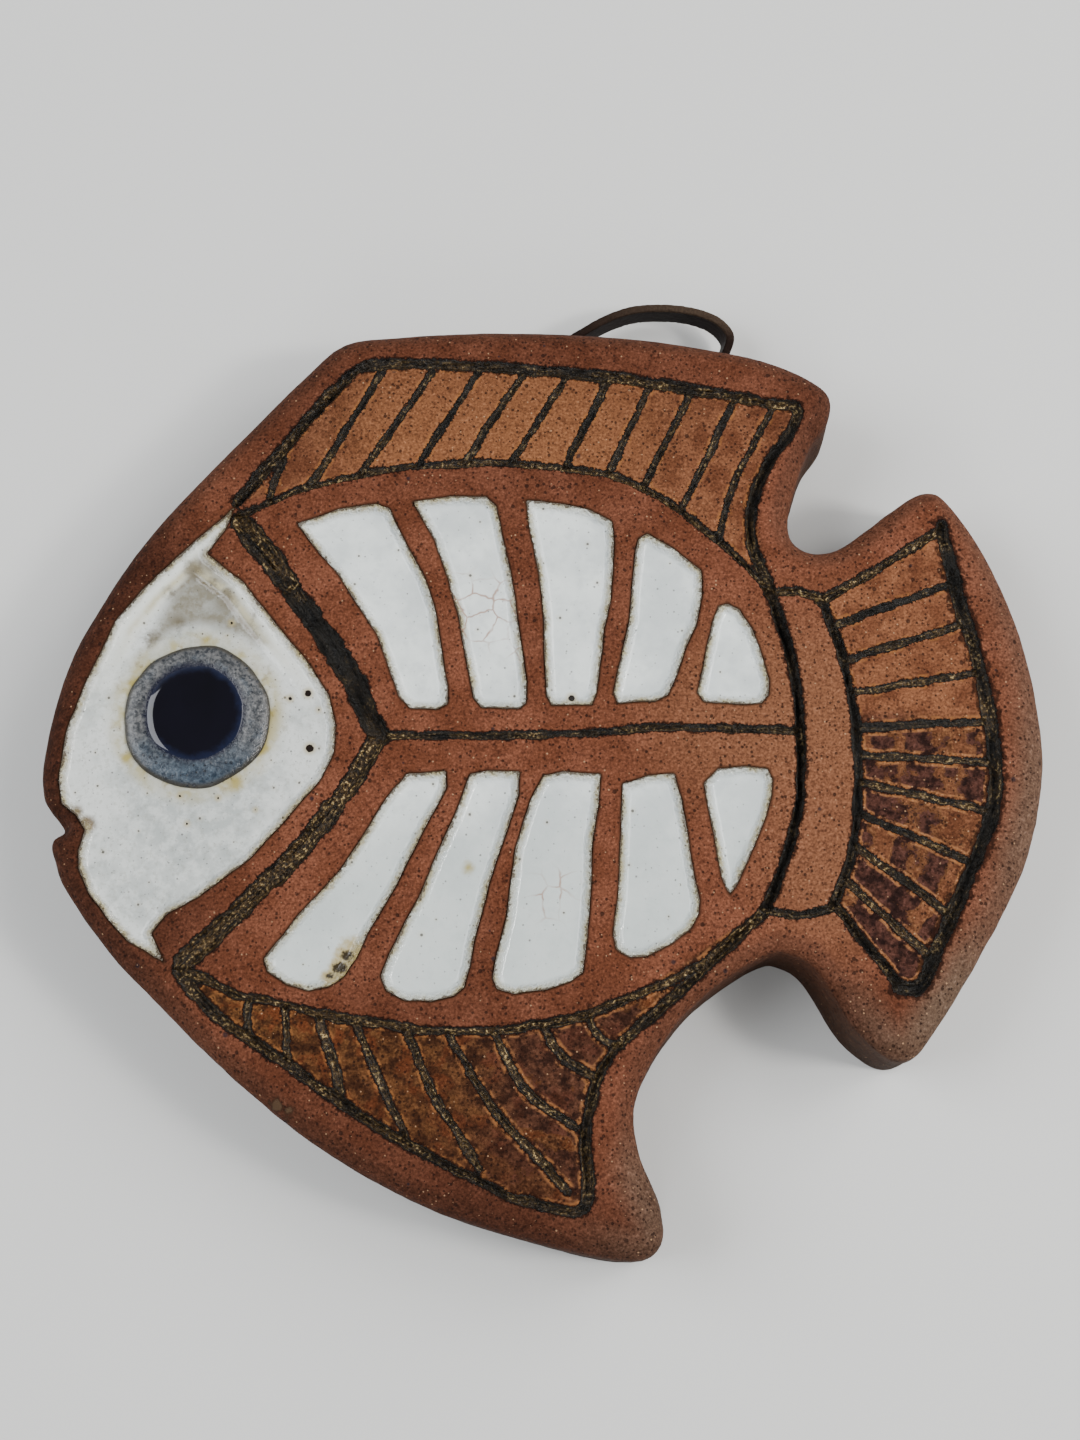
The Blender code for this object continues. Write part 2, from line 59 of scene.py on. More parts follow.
# Each carved line: its points, width, depth, how much gold grit lies on its floor, and how far the dark
# reaches out of it on to the clay
borders = {
    "bodyUpper": ([(18.8, 22.6), (25.9, 25.8), (33.6, 27.6), (41.6, 28.4), (50.0, 28.1), (57.0, 27.0),
                   (62.4, 24.4), (68.0, 19.9), (72.8, 14.8)], 1.6, 1.5, 0.45, 0.25),
    "bodyLower": ([(14.6, -23.1), (21.4, -25.9), (32.2, -28.2), (41.6, -29.2), (50.0, -28.6), (59.4, -25.7),
                   (66.4, -21.9), (71.6, -17.4)], 1.7, 1.5, 0.8, 0.35),
    "bodyRight": ([(72.8, 14.8), (74.7, 8.2), (75.5, 0.4), (75.3, -6.0), (73.8, -12.2), (71.6, -17.4)],
                  1.8, 1.8, 0.15, 0.55),
    "dorsalEdge": ([(18.8, 24.2), (23.3, 30.0), (29.2, 37.2), (32.6, 39.2), (42.5, 39.1), (54.0, 38.2),
                    (65.5, 36.5), (73.4, 34.9), (76.2, 34.5), (75.6, 32.2), (73.0, 28.4), (71.2, 23.6),
                    (71.2, 19.6), (72.9, 14.9)], 2.0, 1.8, 0.3, 0.45),
    "analEdge": ([(14.6, -23.4), (18.3, -27.6), (25.3, -32.3), (32.4, -37.2), (41.6, -42.2), (49.0, -45.4),
                  (54.0, -45.6), (54.0, -38.8), (55.6, -32.8), (59.0, -28.9), (65.8, -23.0), (71.6, -17.5)],
                 2.0, 1.7, 0.4, 0.45),
    "peduncleUpper": ([(72.6, 14.6), (75.2, 14.7), (78.1, 14.0)], 1.5, 1.3, 0.6, 0.2),
    "peduncleLower": ([(71.4, -17.5), (74.6, -18.1), (78.4, -17.2)], 1.6, 1.4, 0.3, 0.2),
    "tailRoot": ([(78.0, 14.0), (79.9, 8.1), (81.0, 1.0), (81.1, -6.2), (80.1, -12.2), (78.2, -17.2)],
                 1.7, 1.6, 0.2, 0.4),
    "tailTop": ([(77.8, 13.7), (84.6, 17.6), (90.5, 21.4)], 1.7, 1.5, 0.5, 0.2),
    "tailHem": ([(90.4, 21.6), (91.8, 14.4), (93.8, 5.9), (94.7, -2.6), (93.9, -8.6), (91.0, -15.4),
                 (88.0, -21.6), (86.4, -25.0), (84.3, -25.0)], 2.5, 1.8, 0.2, 1.1),
    "tailBottom": ([(78.3, -16.8), (81.1, -20.6), (84.6, -25.2)], 1.8, 1.6, 0.2, 0.4),
    "lateral": ([(33.2, -0.2), (50.3, -0.1), (62.0, 0.6), (75.4, 0.3)], 1.5, 1.3, 0.35, 0.3),
    "gillUpper": ([(19.2, 22.0), (24.8, 14.9), (30.2, 6.6), (33.6, -0.2)], 4.2, 1.9, 0.12, 0.3),
    "gillTop": ([(19.2, 22.0), (22.2, 18.5), (24.6, 15.2)], 4.3, 1.9, 0.75, 0.3),
    "gillLower": ([(33.6, -0.2), (30.6, -5.6), (26.2, -11.6), (21.2, -16.8), (14.9, -22.9)],
                  3.8, 1.8, 0.55, 0.3),
}
rays = {
    "dorsal": [
        [(23.4, 28.9), (22.0, 24.8)], [(33.4, 38.5), (26.2, 26.1)], [(38.6, 38.6), (31.2, 27.2)],
        [(43.2, 38.5), (37.0, 28.0)], [(47.9, 38.3), (41.9, 28.4)], [(52.4, 38.0), (46.7, 28.5)],
        [(56.7, 37.4), (52.2, 28.0)], [(61.0, 36.8), (56.6, 27.2)], [(65.1, 36.0), (60.1, 25.6)],
        [(69.6, 35.3), (64.1, 23.3)], [(73.7, 34.6), (69.6, 26.4), (67.8, 20.4)],
    ],
    "anal": [
        [(21.4, -26.0), (21.6, -29.4)], [(25.1, -26.8), (25.4, -32.0)],
        [(28.4, -27.8), (29.5, -31.1), (30.6, -35.2)], [(32.0, -28.4), (34.0, -33.2), (36.9, -39.2)],
        [(36.9, -29.0), (39.2, -34.7), (44.0, -42.2)], [(41.0, -29.3), (45.0, -36.4), (52.4, -44.2)],
        [(45.2, -29.2), (48.2, -34.6), (53.2, -38.4)], [(50.0, -28.9), (51.9, -31.8), (55.2, -33.6)],
        [(54.2, -27.6), (55.4, -29.8), (57.6, -30.8)],
    ],
    "tail": [
        [(79.2, 11.2), (91.2, 15.6)], [(80.3, 7.6), (92.5, 11.4)], [(80.9, 4.2), (93.5, 6.3)],
        [(81.1, 0.7), (94.1, 1.3)], [(81.3, -2.1), (94.3, -2.8)], [(81.3, -4.9), (94.0, -7.8)],
        [(81.0, -7.9), (92.4, -13.1)], [(80.7, -11.2), (89.6, -18.0)], [(79.5, -14.6), (87.5, -22.2)],
    ],
}
chips = [(24.5, -36.2, 1.3), (25.6, -36.8, 0.9)]  # grey chips on the rim: place and radius in millimetres
rayCut = {"dorsal": (1.35, 1.3, 0.3, 0.15), "anal": (1.5, 1.2, 0.85, 0.3), "tail": (1.45, 1.3, 0.42, 0.2)}

# The glazed pools, traced round their edges
pools = {
    "upperPool1": [(25.0, 21.8), (29.1, 23.4), (33.0, 24.0), (34.3, 23.5), (35.5, 21.0), (37.1, 17.8),
                   (38.0, 16.1), (39.0, 13.2), (39.7, 9.1), (40.4, 4.9), (40.4, 3.1), (39.4, 2.5),
                   (36.8, 2.6), (35.7, 3.7), (34.6, 6.6), (33.3, 10.2), (31.0, 13.7), (29.2, 16.6),
                   (27.3, 18.8)],
    "upperPool2": [(36.7, 24.2), (40.5, 24.8), (44.2, 24.8), (45.2, 23.7), (45.8, 20.9), (46.6, 17.0),
                   (47.2, 13.2), (47.8, 9.1), (48.3, 5.4), (48.2, 3.1), (47.6, 2.6), (43.8, 2.7),
                   (43.0, 3.7), (42.6, 6.1), (42.0, 9.1), (41.3, 12.7), (40.3, 16.2), (39.0, 20.1),
                   (37.7, 22.4)],
    "upperPool3": [(48.3, 24.3), (51.8, 24.1), (54.7, 23.3), (56.9, 22.1), (57.2, 19.8), (56.9, 16.2),
                   (56.7, 13.4), (56.1, 10.7), (55.7, 7.4), (55.3, 4.2), (54.8, 3.0), (50.8, 2.9),
                   (50.3, 3.9), (50.2, 6.6), (50.0, 12.1), (49.6, 16.2), (49.0, 19.3), (48.5, 22.2)],
    "upperPool4": [(59.7, 20.3), (60.6, 20.8), (63.3, 19.1), (65.9, 16.9), (66.0, 14.2), (65.3, 11.2),
                   (64.3, 9.0), (63.3, 6.0), (62.4, 3.9), (61.2, 3.3), (57.4, 3.2), (57.0, 4.2),
                   (57.8, 7.9), (58.6, 11.6), (58.9, 15.3), (59.4, 18.9)],
    "upperPool5": [(67.7, 13.2), (68.5, 13.4), (69.7, 12.8), (71.0, 10.7), (71.8, 8.1), (72.5, 5.5),
                   (72.4, 4.0), (71.7, 3.1), (70.0, 3.0), (66.0, 3.3), (65.4, 4.3), (66.3, 8.4),
                   (67.0, 11.6)],
    "lowerPool1": [(40.3, -3.8), (36.5, -4.0), (34.4, -6.7), (30.2, -13.6), (28.1, -16.0), (26.0, -18.3),
                   (24.1, -20.7), (22.9, -22.3), (23.3, -23.5), (25.1, -24.7), (27.2, -25.3),
                   (29.3, -24.9), (30.7, -24.0), (31.9, -22.3), (33.0, -19.8), (34.3, -17.4),
                   (35.7, -15.0), (36.8, -12.6), (38.8, -8.7), (40.4, -5.4)],
    "lowerPool2": [(42.8, -4.1), (44.4, -3.7), (47.6, -3.9), (47.5, -6.2), (45.4, -12.6), (44.0, -17.7),
                   (43.3, -20.5), (42.9, -23.1), (42.3, -25.0), (41.3, -25.8), (39.2, -26.4),
                   (36.6, -26.3), (34.8, -25.4), (34.3, -24.0), (35.1, -21.8), (36.4, -19.0),
                   (37.9, -16.2), (39.0, -13.3), (41.2, -8.4)],
    "lowerPool3": [(50.0, -4.3), (52.0, -3.9), (55.6, -4.1), (55.4, -6.9), (54.7, -11.7), (54.5, -16.6),
                   (54.2, -20.5), (53.8, -23.6), (52.7, -24.4), (50.3, -25.3), (47.2, -25.7),
                   (45.5, -25.2), (45.1, -24.1), (45.7, -21.0), (46.4, -18.1), (47.2, -11.7),
                   (48.7, -6.7)],
    "lowerPool4": [(57.8, -5.1), (60.3, -4.2), (62.9, -4.1), (63.6, -6.7), (64.2, -10.7), (64.8, -14.6),
                   (65.2, -16.6), (65.0, -18.1), (64.2, -19.5), (62.5, -20.8), (59.9, -22.1),
                   (58.4, -22.2), (57.0, -21.4), (56.7, -20.0), (57.2, -16.6), (57.6, -10.4)],
    "lowerPool5": [(65.8, -5.0), (67.2, -3.5), (70.0, -3.3), (72.1, -3.5), (72.6, -4.6), (72.4, -6.4),
                   (71.9, -8.2), (70.5, -11.4), (69.0, -14.8), (68.1, -16.1), (67.4, -14.3), (66.8, -10.7),
                   (66.2, -7.3)],
    "headPool": [(18.6, 23.7), (13.2, 18.6), (9.6, 14.9), (7.1, 11.7), (4.3, 5.1), (2.7, 0.4), (2.2, -4.8),
                 (2.6, -7.1), (4.1, -8.2), (5.0, -9.6), (4.5, -11.7), (4.6, -13.5), (5.8, -16.1),
                 (7.9, -18.7), (9.8, -20.6), (13.4, -22.6), (11.9, -19.9), (13.3, -18.0), (16.3, -16.3),
                 (21.1, -12.7), (24.8, -8.5), (28.0, -4.6), (29.2, -2.1), (29.4, 0.8), (28.6, 3.9),
                 (26.6, 7.1), (23.3, 11.0), (19.6, 15.7), (15.9, 18.7), (17.6, 21.2)],
}

eye = {"centre": (15.45, 1.85), "radius": 13.9, "pupil": 9.0, "pupilShift": (-0.3, 0.7)}


# Curves and distances, all in millimetres

def place(points):
    # Hundredths of the length to millimetres in the model
    return np.array(points, float) * fish["length"] / 100 - fish["middle"]


def smoothLine(points, steps, closed=False):
    # Catmull-Rom: each stretch is a cubic that leaves a point along the way between its two neighbours
    points = np.array(points, float)
    if closed:
        padded = np.concatenate([points[-1:], points, points[:2]])
    else:
        padded = np.concatenate([2 * points[:1] - points[1:2], points, 2 * points[-1:] - points[-2:-1]])
    t = (np.arange(steps) / steps)[None, :, None]
    a, b, c, d = (padded[i:len(padded) - 3 + i, None] for i in range(4))
    curve = (2 * b + (c - a) * t + (2 * a - 5 * b + 4 * c - d) * t**2 + (3 * b - a - 3 * c + d) * t**3) / 2
    curve = curve.reshape(-1, points.shape[1])
    return curve if closed else np.concatenate([curve, points[-1:]])


def tightLine(points, hold=0.2):
    # A closed curve that keeps close to the straight stretches between its points: two more on each stretch
    points = np.array(points, float)
    ahead = np.roll(points, -1, axis=0)
    held = np.stack([points, points + hold * (ahead - points), ahead - hold * (ahead - points)], axis=1)
    return smoothLine(held.reshape(-1, 2), 2, closed=True)


def lineDistance(points, line, reach, closed=False):
    # For each point: how far the nearest stretch of the line is, up to the reach, how far along it and on
    # which side
    best = np.full(len(points), float(reach))
    along = np.zeros(len(points))
    side = np.ones(len(points))
    ends = np.roll(line, -1, axis=0) if closed else line[1:]
    walked = 0.0
    for a, b in zip(line, ends):
        low = np.minimum(a, b) - reach
        high = np.maximum(a, b) + reach
        near = np.flatnonzero(((points > low) & (points < high)).all(axis=1))
        way = b - a
        length = np.linalg.norm(way)
        offset = points[near] - a
        share = np.clip(offset @ way / max(length**2, 1e-9), 0, 1)
        gap = np.linalg.norm(offset - share[:, None] * way, axis=1)
        closer = gap < best[near]
        best[near[closer]] = gap[closer]
        along[near[closer]] = walked + share[closer] * length
        side[near[closer]] = np.sign(way[0] * offset[closer, 1] - way[1] * offset[closer, 0])
        walked += length
    return best, along, side


def insideOf(points, line):
    # A point is inside where a level ray from it crosses the closed line an odd number of times
    inside = np.zeros(len(points), bool)
    x, y = points[:, 0], points[:, 1]
    for (ax, ay), (bx, by) in zip(line, np.roll(line, -1, axis=0)):
        if ay == by:
            continue
        spans = (ay > y) != (by > y)
        inside ^= spans & (x < (bx - ax) * (y - ay) / (by - ay) + ax)
    return inside


def signedDistance(points, line, reach):
    # Distance to the closed line, positive inside it
    gap = lineDistance(points, line, reach, closed=True)[0]
    return np.where(insideOf(points, line), gap, -gap)


def softNoise(points, size, seed):
    # Random heights from -1 to 1 on a square lattice of that size, blended smoothly between its corners
    lattice = np.random.RandomState(seed).uniform(-1, 1, (256, 256))
    scaled = points / size + 97.3
    cell = np.floor(scaled).astype(int)
    share = scaled - cell
    share = share * share * (3 - 2 * share)
    i, j = cell[:, 0] % 255, cell[:, 1] % 255
    u, v = share[:, 0], share[:, 1]
    low = lattice[i, j] * (1 - u) + lattice[i + 1, j] * u
    high = lattice[i, j + 1] * (1 - u) + lattice[i + 1, j + 1] * u
    return low * (1 - v) + high * v


def smoothStep(low, high, value):
    # From 0 at low to 1 at high: three times the square of the share less twice its cube
    t = np.clip((value - low) / (high - low), 0, 1)
    return t * t * (3 - 2 * t)


def wobbled(points, amount, seed):
    # The place a little to the side, so that a line cut by hand isn't dead straight
    shift = np.column_stack([
        softNoise(points, 5.0, seed) + 0.5 * softNoise(points, 1.7, seed + 1),
        softNoise(points, 5.0, seed + 2) + 0.5 * softNoise(points, 1.7, seed + 3),
    ])
    return points + amount * shift


# Meshes

def slope(field, points, reach=0.05):
    # The direction in which the field grows fastest, as a unit vector
    dx = field(points + (reach, 0)) - field(points - (reach, 0))
    dy = field(points + (0, reach)) - field(points - (0, reach))
    way = np.column_stack([dx, dy])
    return way / np.maximum(np.linalg.norm(way, axis=1), 1e-9)[:, None]


def snapTo(points, field, rounds=2):
    # Slides the points along the field's slope until the field is nothing there
    for _ in range(rounds):
        points = points - slope(field, points) * field(points)[:, None]
    return points


def trimmedGrid(field, low, high, step):
    # A square grid over the region where the field is positive, its outer points slid on to the region's edge
    xs = np.arange(low[0], high[0] + step, step)
    ys = np.arange(low[1], high[1] + step, step)
    gx, gy = np.meshgrid(xs, ys, indexing="ij")
    points = np.column_stack([gx.ravel(), gy.ravel()])
    inside = (field(points) > -0.45 * step).reshape(gx.shape)
    kept = inside[:-1, :-1] & inside[1:, :-1] & inside[:-1, 1:] & inside[1:, 1:]
    index = np.arange(gx.size).reshape(gx.shape)
    quads = np.stack([index[:-1, :-1], index[1:, :-1], index[1:, 1:], index[:-1, 1:]], axis=-1)[kept]
    used, flat = np.unique(quads, return_inverse=True)
    quads = flat.reshape(quads.shape)
    points = points[used]
    # An edge that only one quad has, in the way that quad runs
    edges = np.concatenate([quads[:, [k, (k + 1) % 4]] for k in range(4)])
    key = np.sort(edges, axis=1) @ (len(points), 1)
    _, first, count = np.unique(key, return_index=True, return_counts=True)
    rim = edges[first[count == 1]]
    onRim = np.unique(rim)
    points[onRim] = snapTo(points[onRim], field)
    return points, quads, rim, onRim


def triangles(quads, height):
    # Each quad is split along the diagonal whose two ends are more nearly as high
    a, b, c, d = quads.T
    straight = (np.abs(height[a] - height[c]) <= np.abs(height[b] - height[d]))[:, None]
    first = np.where(straight, np.stack([a, b, c], 1), np.stack([a, b, d], 1))
    second = np.where(straight, np.stack([a, c, d], 1), np.stack([b, c, d], 1))
    return np.concatenate([first, second])


def makeMesh(name, vertices, faces, material, attributes=None):
    # A mesh object from arrays in millimetres, with a float attribute for each named array
    mesh = bpy.data.meshes.new(name)
    mesh.from_pydata((vertices * mm).tolist(), [], [list(map(int, face)) for face in faces])
    for key, values in (attributes or {}).items():
        mesh.attributes.new(key, "FLOAT", "POINT").data.foreach_set("value", np.asarray(values, np.float32))
    work = bmesh.new()
    work.from_mesh(mesh)
    openEdges = [edge for edge in work.edges if edge.is_boundary]
    if openEdges:
        bmesh.ops.holes_fill(work, edges=openEdges, sides=0)
    bmesh.ops.recalc_face_normals(work, faces=work.faces)
    work.to_mesh(mesh)
    work.free()
    mesh.shade_smooth()
    mesh.materials.append(material)
    made = bpy.data.objects.new(name, mesh)
    bpy.context.scene.collection.objects.link(made)
    return made


def skirt(rim, rings):
    # Quads from the grid's rim down through the rings, where each ring numbers every grid point
    a, b = rim.T
    return np.concatenate([np.column_stack([upper[b], upper[a], lower[a], lower[b]])
                           for upper, lower in zip(rings, rings[1:])])


# Shader nodes

bench = {}  # "tree" is the node tree at work, which the functions below add to


def addNode(kind, **settings):
    node = bench["tree"].nodes.new("ShaderNode" + kind)
    for key, value in settings.items():
        setattr(node, key, value)
    return node


def feed(socket, value):
    # Links another socket to this one, or sets a plain value on it
    if isinstance(value, bpy.types.NodeSocket):
        bench["tree"].links.new(value, socket)
    elif isinstance(value, tuple) and len(value) == 3 and socket.type == "RGBA":
        socket.default_value = (*value, 1)
    else:
        socket.default_value = value


def maths(operation, *values):
    node = addNode("Math", operation=operation)
    for socket, value in zip(node.inputs, values):
        feed(socket, value)
    return node.outputs[0]


def times(first, second):
    return maths("MULTIPLY", first, second)


def plus(first, second):
    return maths("ADD", first, second)


def shaken(value, noise, amount):
    # The value with a noise from 0 to 1 added, centred and scaled by the amount
    return maths("MULTIPLY_ADD", maths("SUBTRACT", noise, 0.5), amount, value)


def mixed(factor, first, second, blend="MIX"):
    node = addNode("Mix", data_type="RGBA", blend_type=blend)
    for number, value in ((0, factor), (6, first), (7, second)):
        feed(node.inputs[number], value)
    return node.outputs[2]


def stepped(value, low, high, toLow=0.0, toHigh=1.0):
    # The smooth step from toLow at low to toHigh at high
    node = addNode("MapRange", interpolation_type="SMOOTHSTEP")
    for socket, number in zip(node.inputs, (value, low, high, toLow, toHigh)):
        feed(socket, number)
    return node.outputs[0]


def noiseOf(vector, scale, detail=3.0, roughness=0.55):
    node = addNode("TexNoise")
    for key, value in (("Vector", vector), ("Scale", scale), ("Detail", detail), ("Roughness", roughness)):
        feed(node.inputs[key], value)
    return node.outputs[0]


def parts(kind, value):
    # The parts of a colour or of a vector
    node = addNode("Separate" + kind)
    feed(node.inputs[0], value)
    return node.outputs


def dotsOf(vector, scale, size, softness, share, flat=False):
    # Round dots of mixed sizes: one in each cell that the share lets through, the cells flat or solid
    node = addNode("TexVoronoi", feature="F1", voronoi_dimensions="2D" if flat else "3D")
    feed(node.inputs["Vector"], vector)
    feed(node.inputs["Scale"], scale)
    lot = parts("Color", node.outputs["Color"])
    radius = times(maths("MULTIPLY_ADD", lot[1], 0.7, 0.3), size)
    inner = maths("SUBTRACT", radius, times(radius, softness))
    dot = stepped(node.outputs["Distance"], inner, radius, 1.0, 0.0)
    return times(dot, maths("LESS_THAN", lot[0], share))


def attributeOf(name):
    return addNode("Attribute", attribute_name=name).outputs["Fac"]


def nearestSpot(coords, spots):
    # How far outside the nearest of the round spots a place is, in metres, taken flat
    level = addNode("VectorMath", operation="MULTIPLY")
    feed(level.inputs[0], coords)
    level.inputs[1].default_value = (1, 1, 0)
    nearest = None
    for x, y, radius in spots:
        away = addNode("VectorMath", operation="DISTANCE")
        feed(away.inputs[0], level.outputs[0])
        away.inputs[1].default_value = (*(place([(x, y)])[0] * mm), 0)
        gap = maths("SUBTRACT", away.outputs["Value"], radius * mm)
        nearest = gap if nearest is None else maths("MINIMUM", nearest, gap)
    return nearest


def raiseBump(shader, height):
    # A height in millimetres becomes the shader's normal
    bump = addNode("Bump")
    bump.inputs["Distance"].default_value = mm
    feed(bump.inputs["Height"], height)
    feed(shader.inputs["Normal"], bump.outputs[0])


def newGroup(name, inputs, outputs):
    # A node group with named inputs and number outputs; it becomes the tree at work
    tree = bpy.data.node_groups.new(name, "ShaderNodeTree")
    bench["tree"] = tree
    for key, kind in inputs:
        tree.interface.new_socket(name=key, in_out="INPUT", socket_type="NodeSocket" + kind)
    for key in outputs:
        tree.interface.new_socket(name=key, in_out="OUTPUT", socket_type="NodeSocketFloat")
    return tree, tree.nodes.new("NodeGroupInput").outputs, tree.nodes.new("NodeGroupOutput").inputs


def useGroup(group, **values):
    node = addNode("Group", node_tree=group)
    for key, value in values.items():
        feed(node.inputs[key], value)
    return node.outputs


def newMaterial(name, roughness, specular=0.5):
    # A plain material, with its shader and Object coordinates; its tree becomes the tree at work
    material = bpy.data.materials.new(name)
    material.use_nodes = True
    bench["tree"] = material.node_tree
    shader = material.node_tree.nodes["Principled BSDF"]
    shader.inputs["Roughness"].default_value = roughness
    shader.inputs["Specular IOR Level"].default_value = specular
    return material, shader, addNode("TexCoord").outputs["Object"]


def buildGrain():
    # Sandy clay: fine mottling, dark iron specks, pale grog, and the height of all three in millimetres
    tree, given, put = newGroup("clayGrain", [("Vector", "Vector")],
                                ["Mottle", "Fine", "Specks", "Grog", "Height"])
    vector = given["Vector"]
    feed(put["Mottle"], noiseOf(vector, 95, 4, 0.6))
    fine = noiseOf(vector, 2000, 2, 0.6)
    specks = maths("MAXIMUM", dotsOf(vector, 1150, 0.42, 0.4, 0.6), dotsOf(vector, 480, 0.24, 0.35, 0.55))
    grog = dotsOf(vector, 1300, 0.33, 0.5, 0.13)
    feed(put["Fine"], fine)
    feed(put["Specks"], specks)
    feed(put["Grog"], grog)
    height = maths("MULTIPLY_ADD", specks, -0.13, times(fine, 0.12))
    feed(put["Height"], maths("MULTIPLY_ADD", grog, 0.06, height))
    return tree


# Iron specks in a glaze: cells to the metre, the dots' size and softness, and how dark they are
pepperSizes = [(130, 0.045, 0.4, 1.0), (250, 0.062, 0.45, 0.75), (480, 0.090, 0.5, 0.55)]


def buildPepper():
    # Sparse iron specks in three sizes, with a faint warm ring round the larger ones
    tree, given, put = newGroup("ironPepper", [("Vector", "Vector"), ("Share", "Float")], ["Specks", "Rings"])
    vector, share = given["Vector"], given["Share"]
    specks = 0.0
    for scale, size, softness, strength in pepperSizes:
        dots = dotsOf(vector, scale, size, softness, share, flat=True)
        specks = maths("MAXIMUM", specks, times(dots, strength))
    feed(put["Specks"], specks)
    feed(put["Rings"], dotsOf(vector, 130, 0.15, 0.9, share, flat=True))
    return tree


def buildGouge():
    # Streaks left by the gouge: noise drawn out along the line, from the millimetres across and along it
    tree, given, put = newGroup("gougeStreaks", [("Across", "Float"), ("Along", "Float")], ["Streaks"])
    drawn = addNode("CombineXYZ")
    feed(drawn.inputs[0], times(given["Across"], 1.9))
    feed(drawn.inputs[1], times(given["Along"], 0.16))
    feed(put["Streaks"], noiseOf(drawn.outputs[0], 1.0, 4, 0.7))
    return tree


grain = buildGrain()
gouge = buildGouge()
pepper = buildPepper()
print("shader groups built")


# The camera, then the loop

camera = {"place": (-0.00057, -0.07538, 0.38975), "tilt": 13.0, "lens": 50.0, "sensor": 36.0}


def buildCamera():
    data = bpy.data.cameras.new("camera")
    data.lens = camera["lens"]
    data.sensor_width = camera["sensor"]
    data.clip_start = 0.01
    made = bpy.data.objects.new("camera", data)
    made.location = camera["place"]
    made.rotation_euler = (math.radians(camera["tilt"]), 0, 0)
    bpy.context.scene.collection.objects.link(made)
    bpy.context.scene.camera = made


buildCamera()

loop = {
    "start": 50.8, "span": 36.4, "reach": 10.2, "base": 3.0, "height": 5.5, "thickness": 1.6,
    "route": [
        (-0.13, -0.55), (-0.07, -0.27), (0.00, 0.00), (0.08, 0.25), (0.18, 0.48), (0.28, 0.70), (0.39, 0.88),
        (0.50, 0.98), (0.62, 1.00), (0.72, 0.98), (0.82, 0.91), (0.91, 0.78), (0.97, 0.60), (1.00, 0.38),
        (0.98, 0.12), (0.94, -0.16), (0.89, -0.43), (0.83, -0.68),
    ],
    "round": 0.35, "fray": 0.16, "lean": 0.2,
}


def loopLine(steps):
    # The loop's route from where it leaves the outline: shares of its span along and of its reach outward
    edge = place(smoothLine(outline, 3, closed=True))
    edge = edge[edge[:, 1] > 0]
    startX = place([(loop["start"], 0)])[0, 0]
    start = np.array([startX, edge[np.abs(edge[:, 0] - startX).argmin(), 1]])
    return smoothLine(start + np.array(loop["route"]) * (loop["span"], loop["reach"]), steps)


# Colours of the leather's face and of its cut edge
leatherColours = {
    "face": ((0.0045, 0.0018, 0.0015), (0.0105, 0.0044, 0.0036)),
    "suede": ((0.008, 0.0042, 0.003), (0.08, 0.054, 0.036)),
}


def buildLeather():
    # Dark leather; the cut edge turns to pale suede towards the loop's right end
    colours = leatherColours
    material, shader, coords = newMaterial("darkLeather", 0.7, specular=0.1)
    fibre = noiseOf(coords, 2600, 3, 0.6)
    blotch = noiseOf(coords, 320, 3, 0.5)
    face = mixed(blotch, *colours["face"])
    # The cut edge turns to pale suede towards its right end and the loop's outer side
    x, y, _ = parts("XYZ", coords)
    worn = times(stepped(x, 0.006, 0.028, 0.2, 0.9), stepped(y, 0.0915, 0.0965, 0.1, 1.0))
    suede = mixed(worn, face, mixed(fibre, *colours["suede"]))
    mask = stepped(shaken(attributeOf("cutEdge"), fibre, 0.5), 0.55, 1.0)
    feed(shader.inputs["Base Color"], mixed(mask, face, suede))
    feed(shader.inputs["Roughness"], stepped(mask, 0.0, 1.0, 0.55, 0.95))
    crease = noiseOf(coords, 900, 4, 0.6)
    height = times(plus(crease, times(fibre, mask)), 0.12)
    raiseBump(shader, height)
    return material


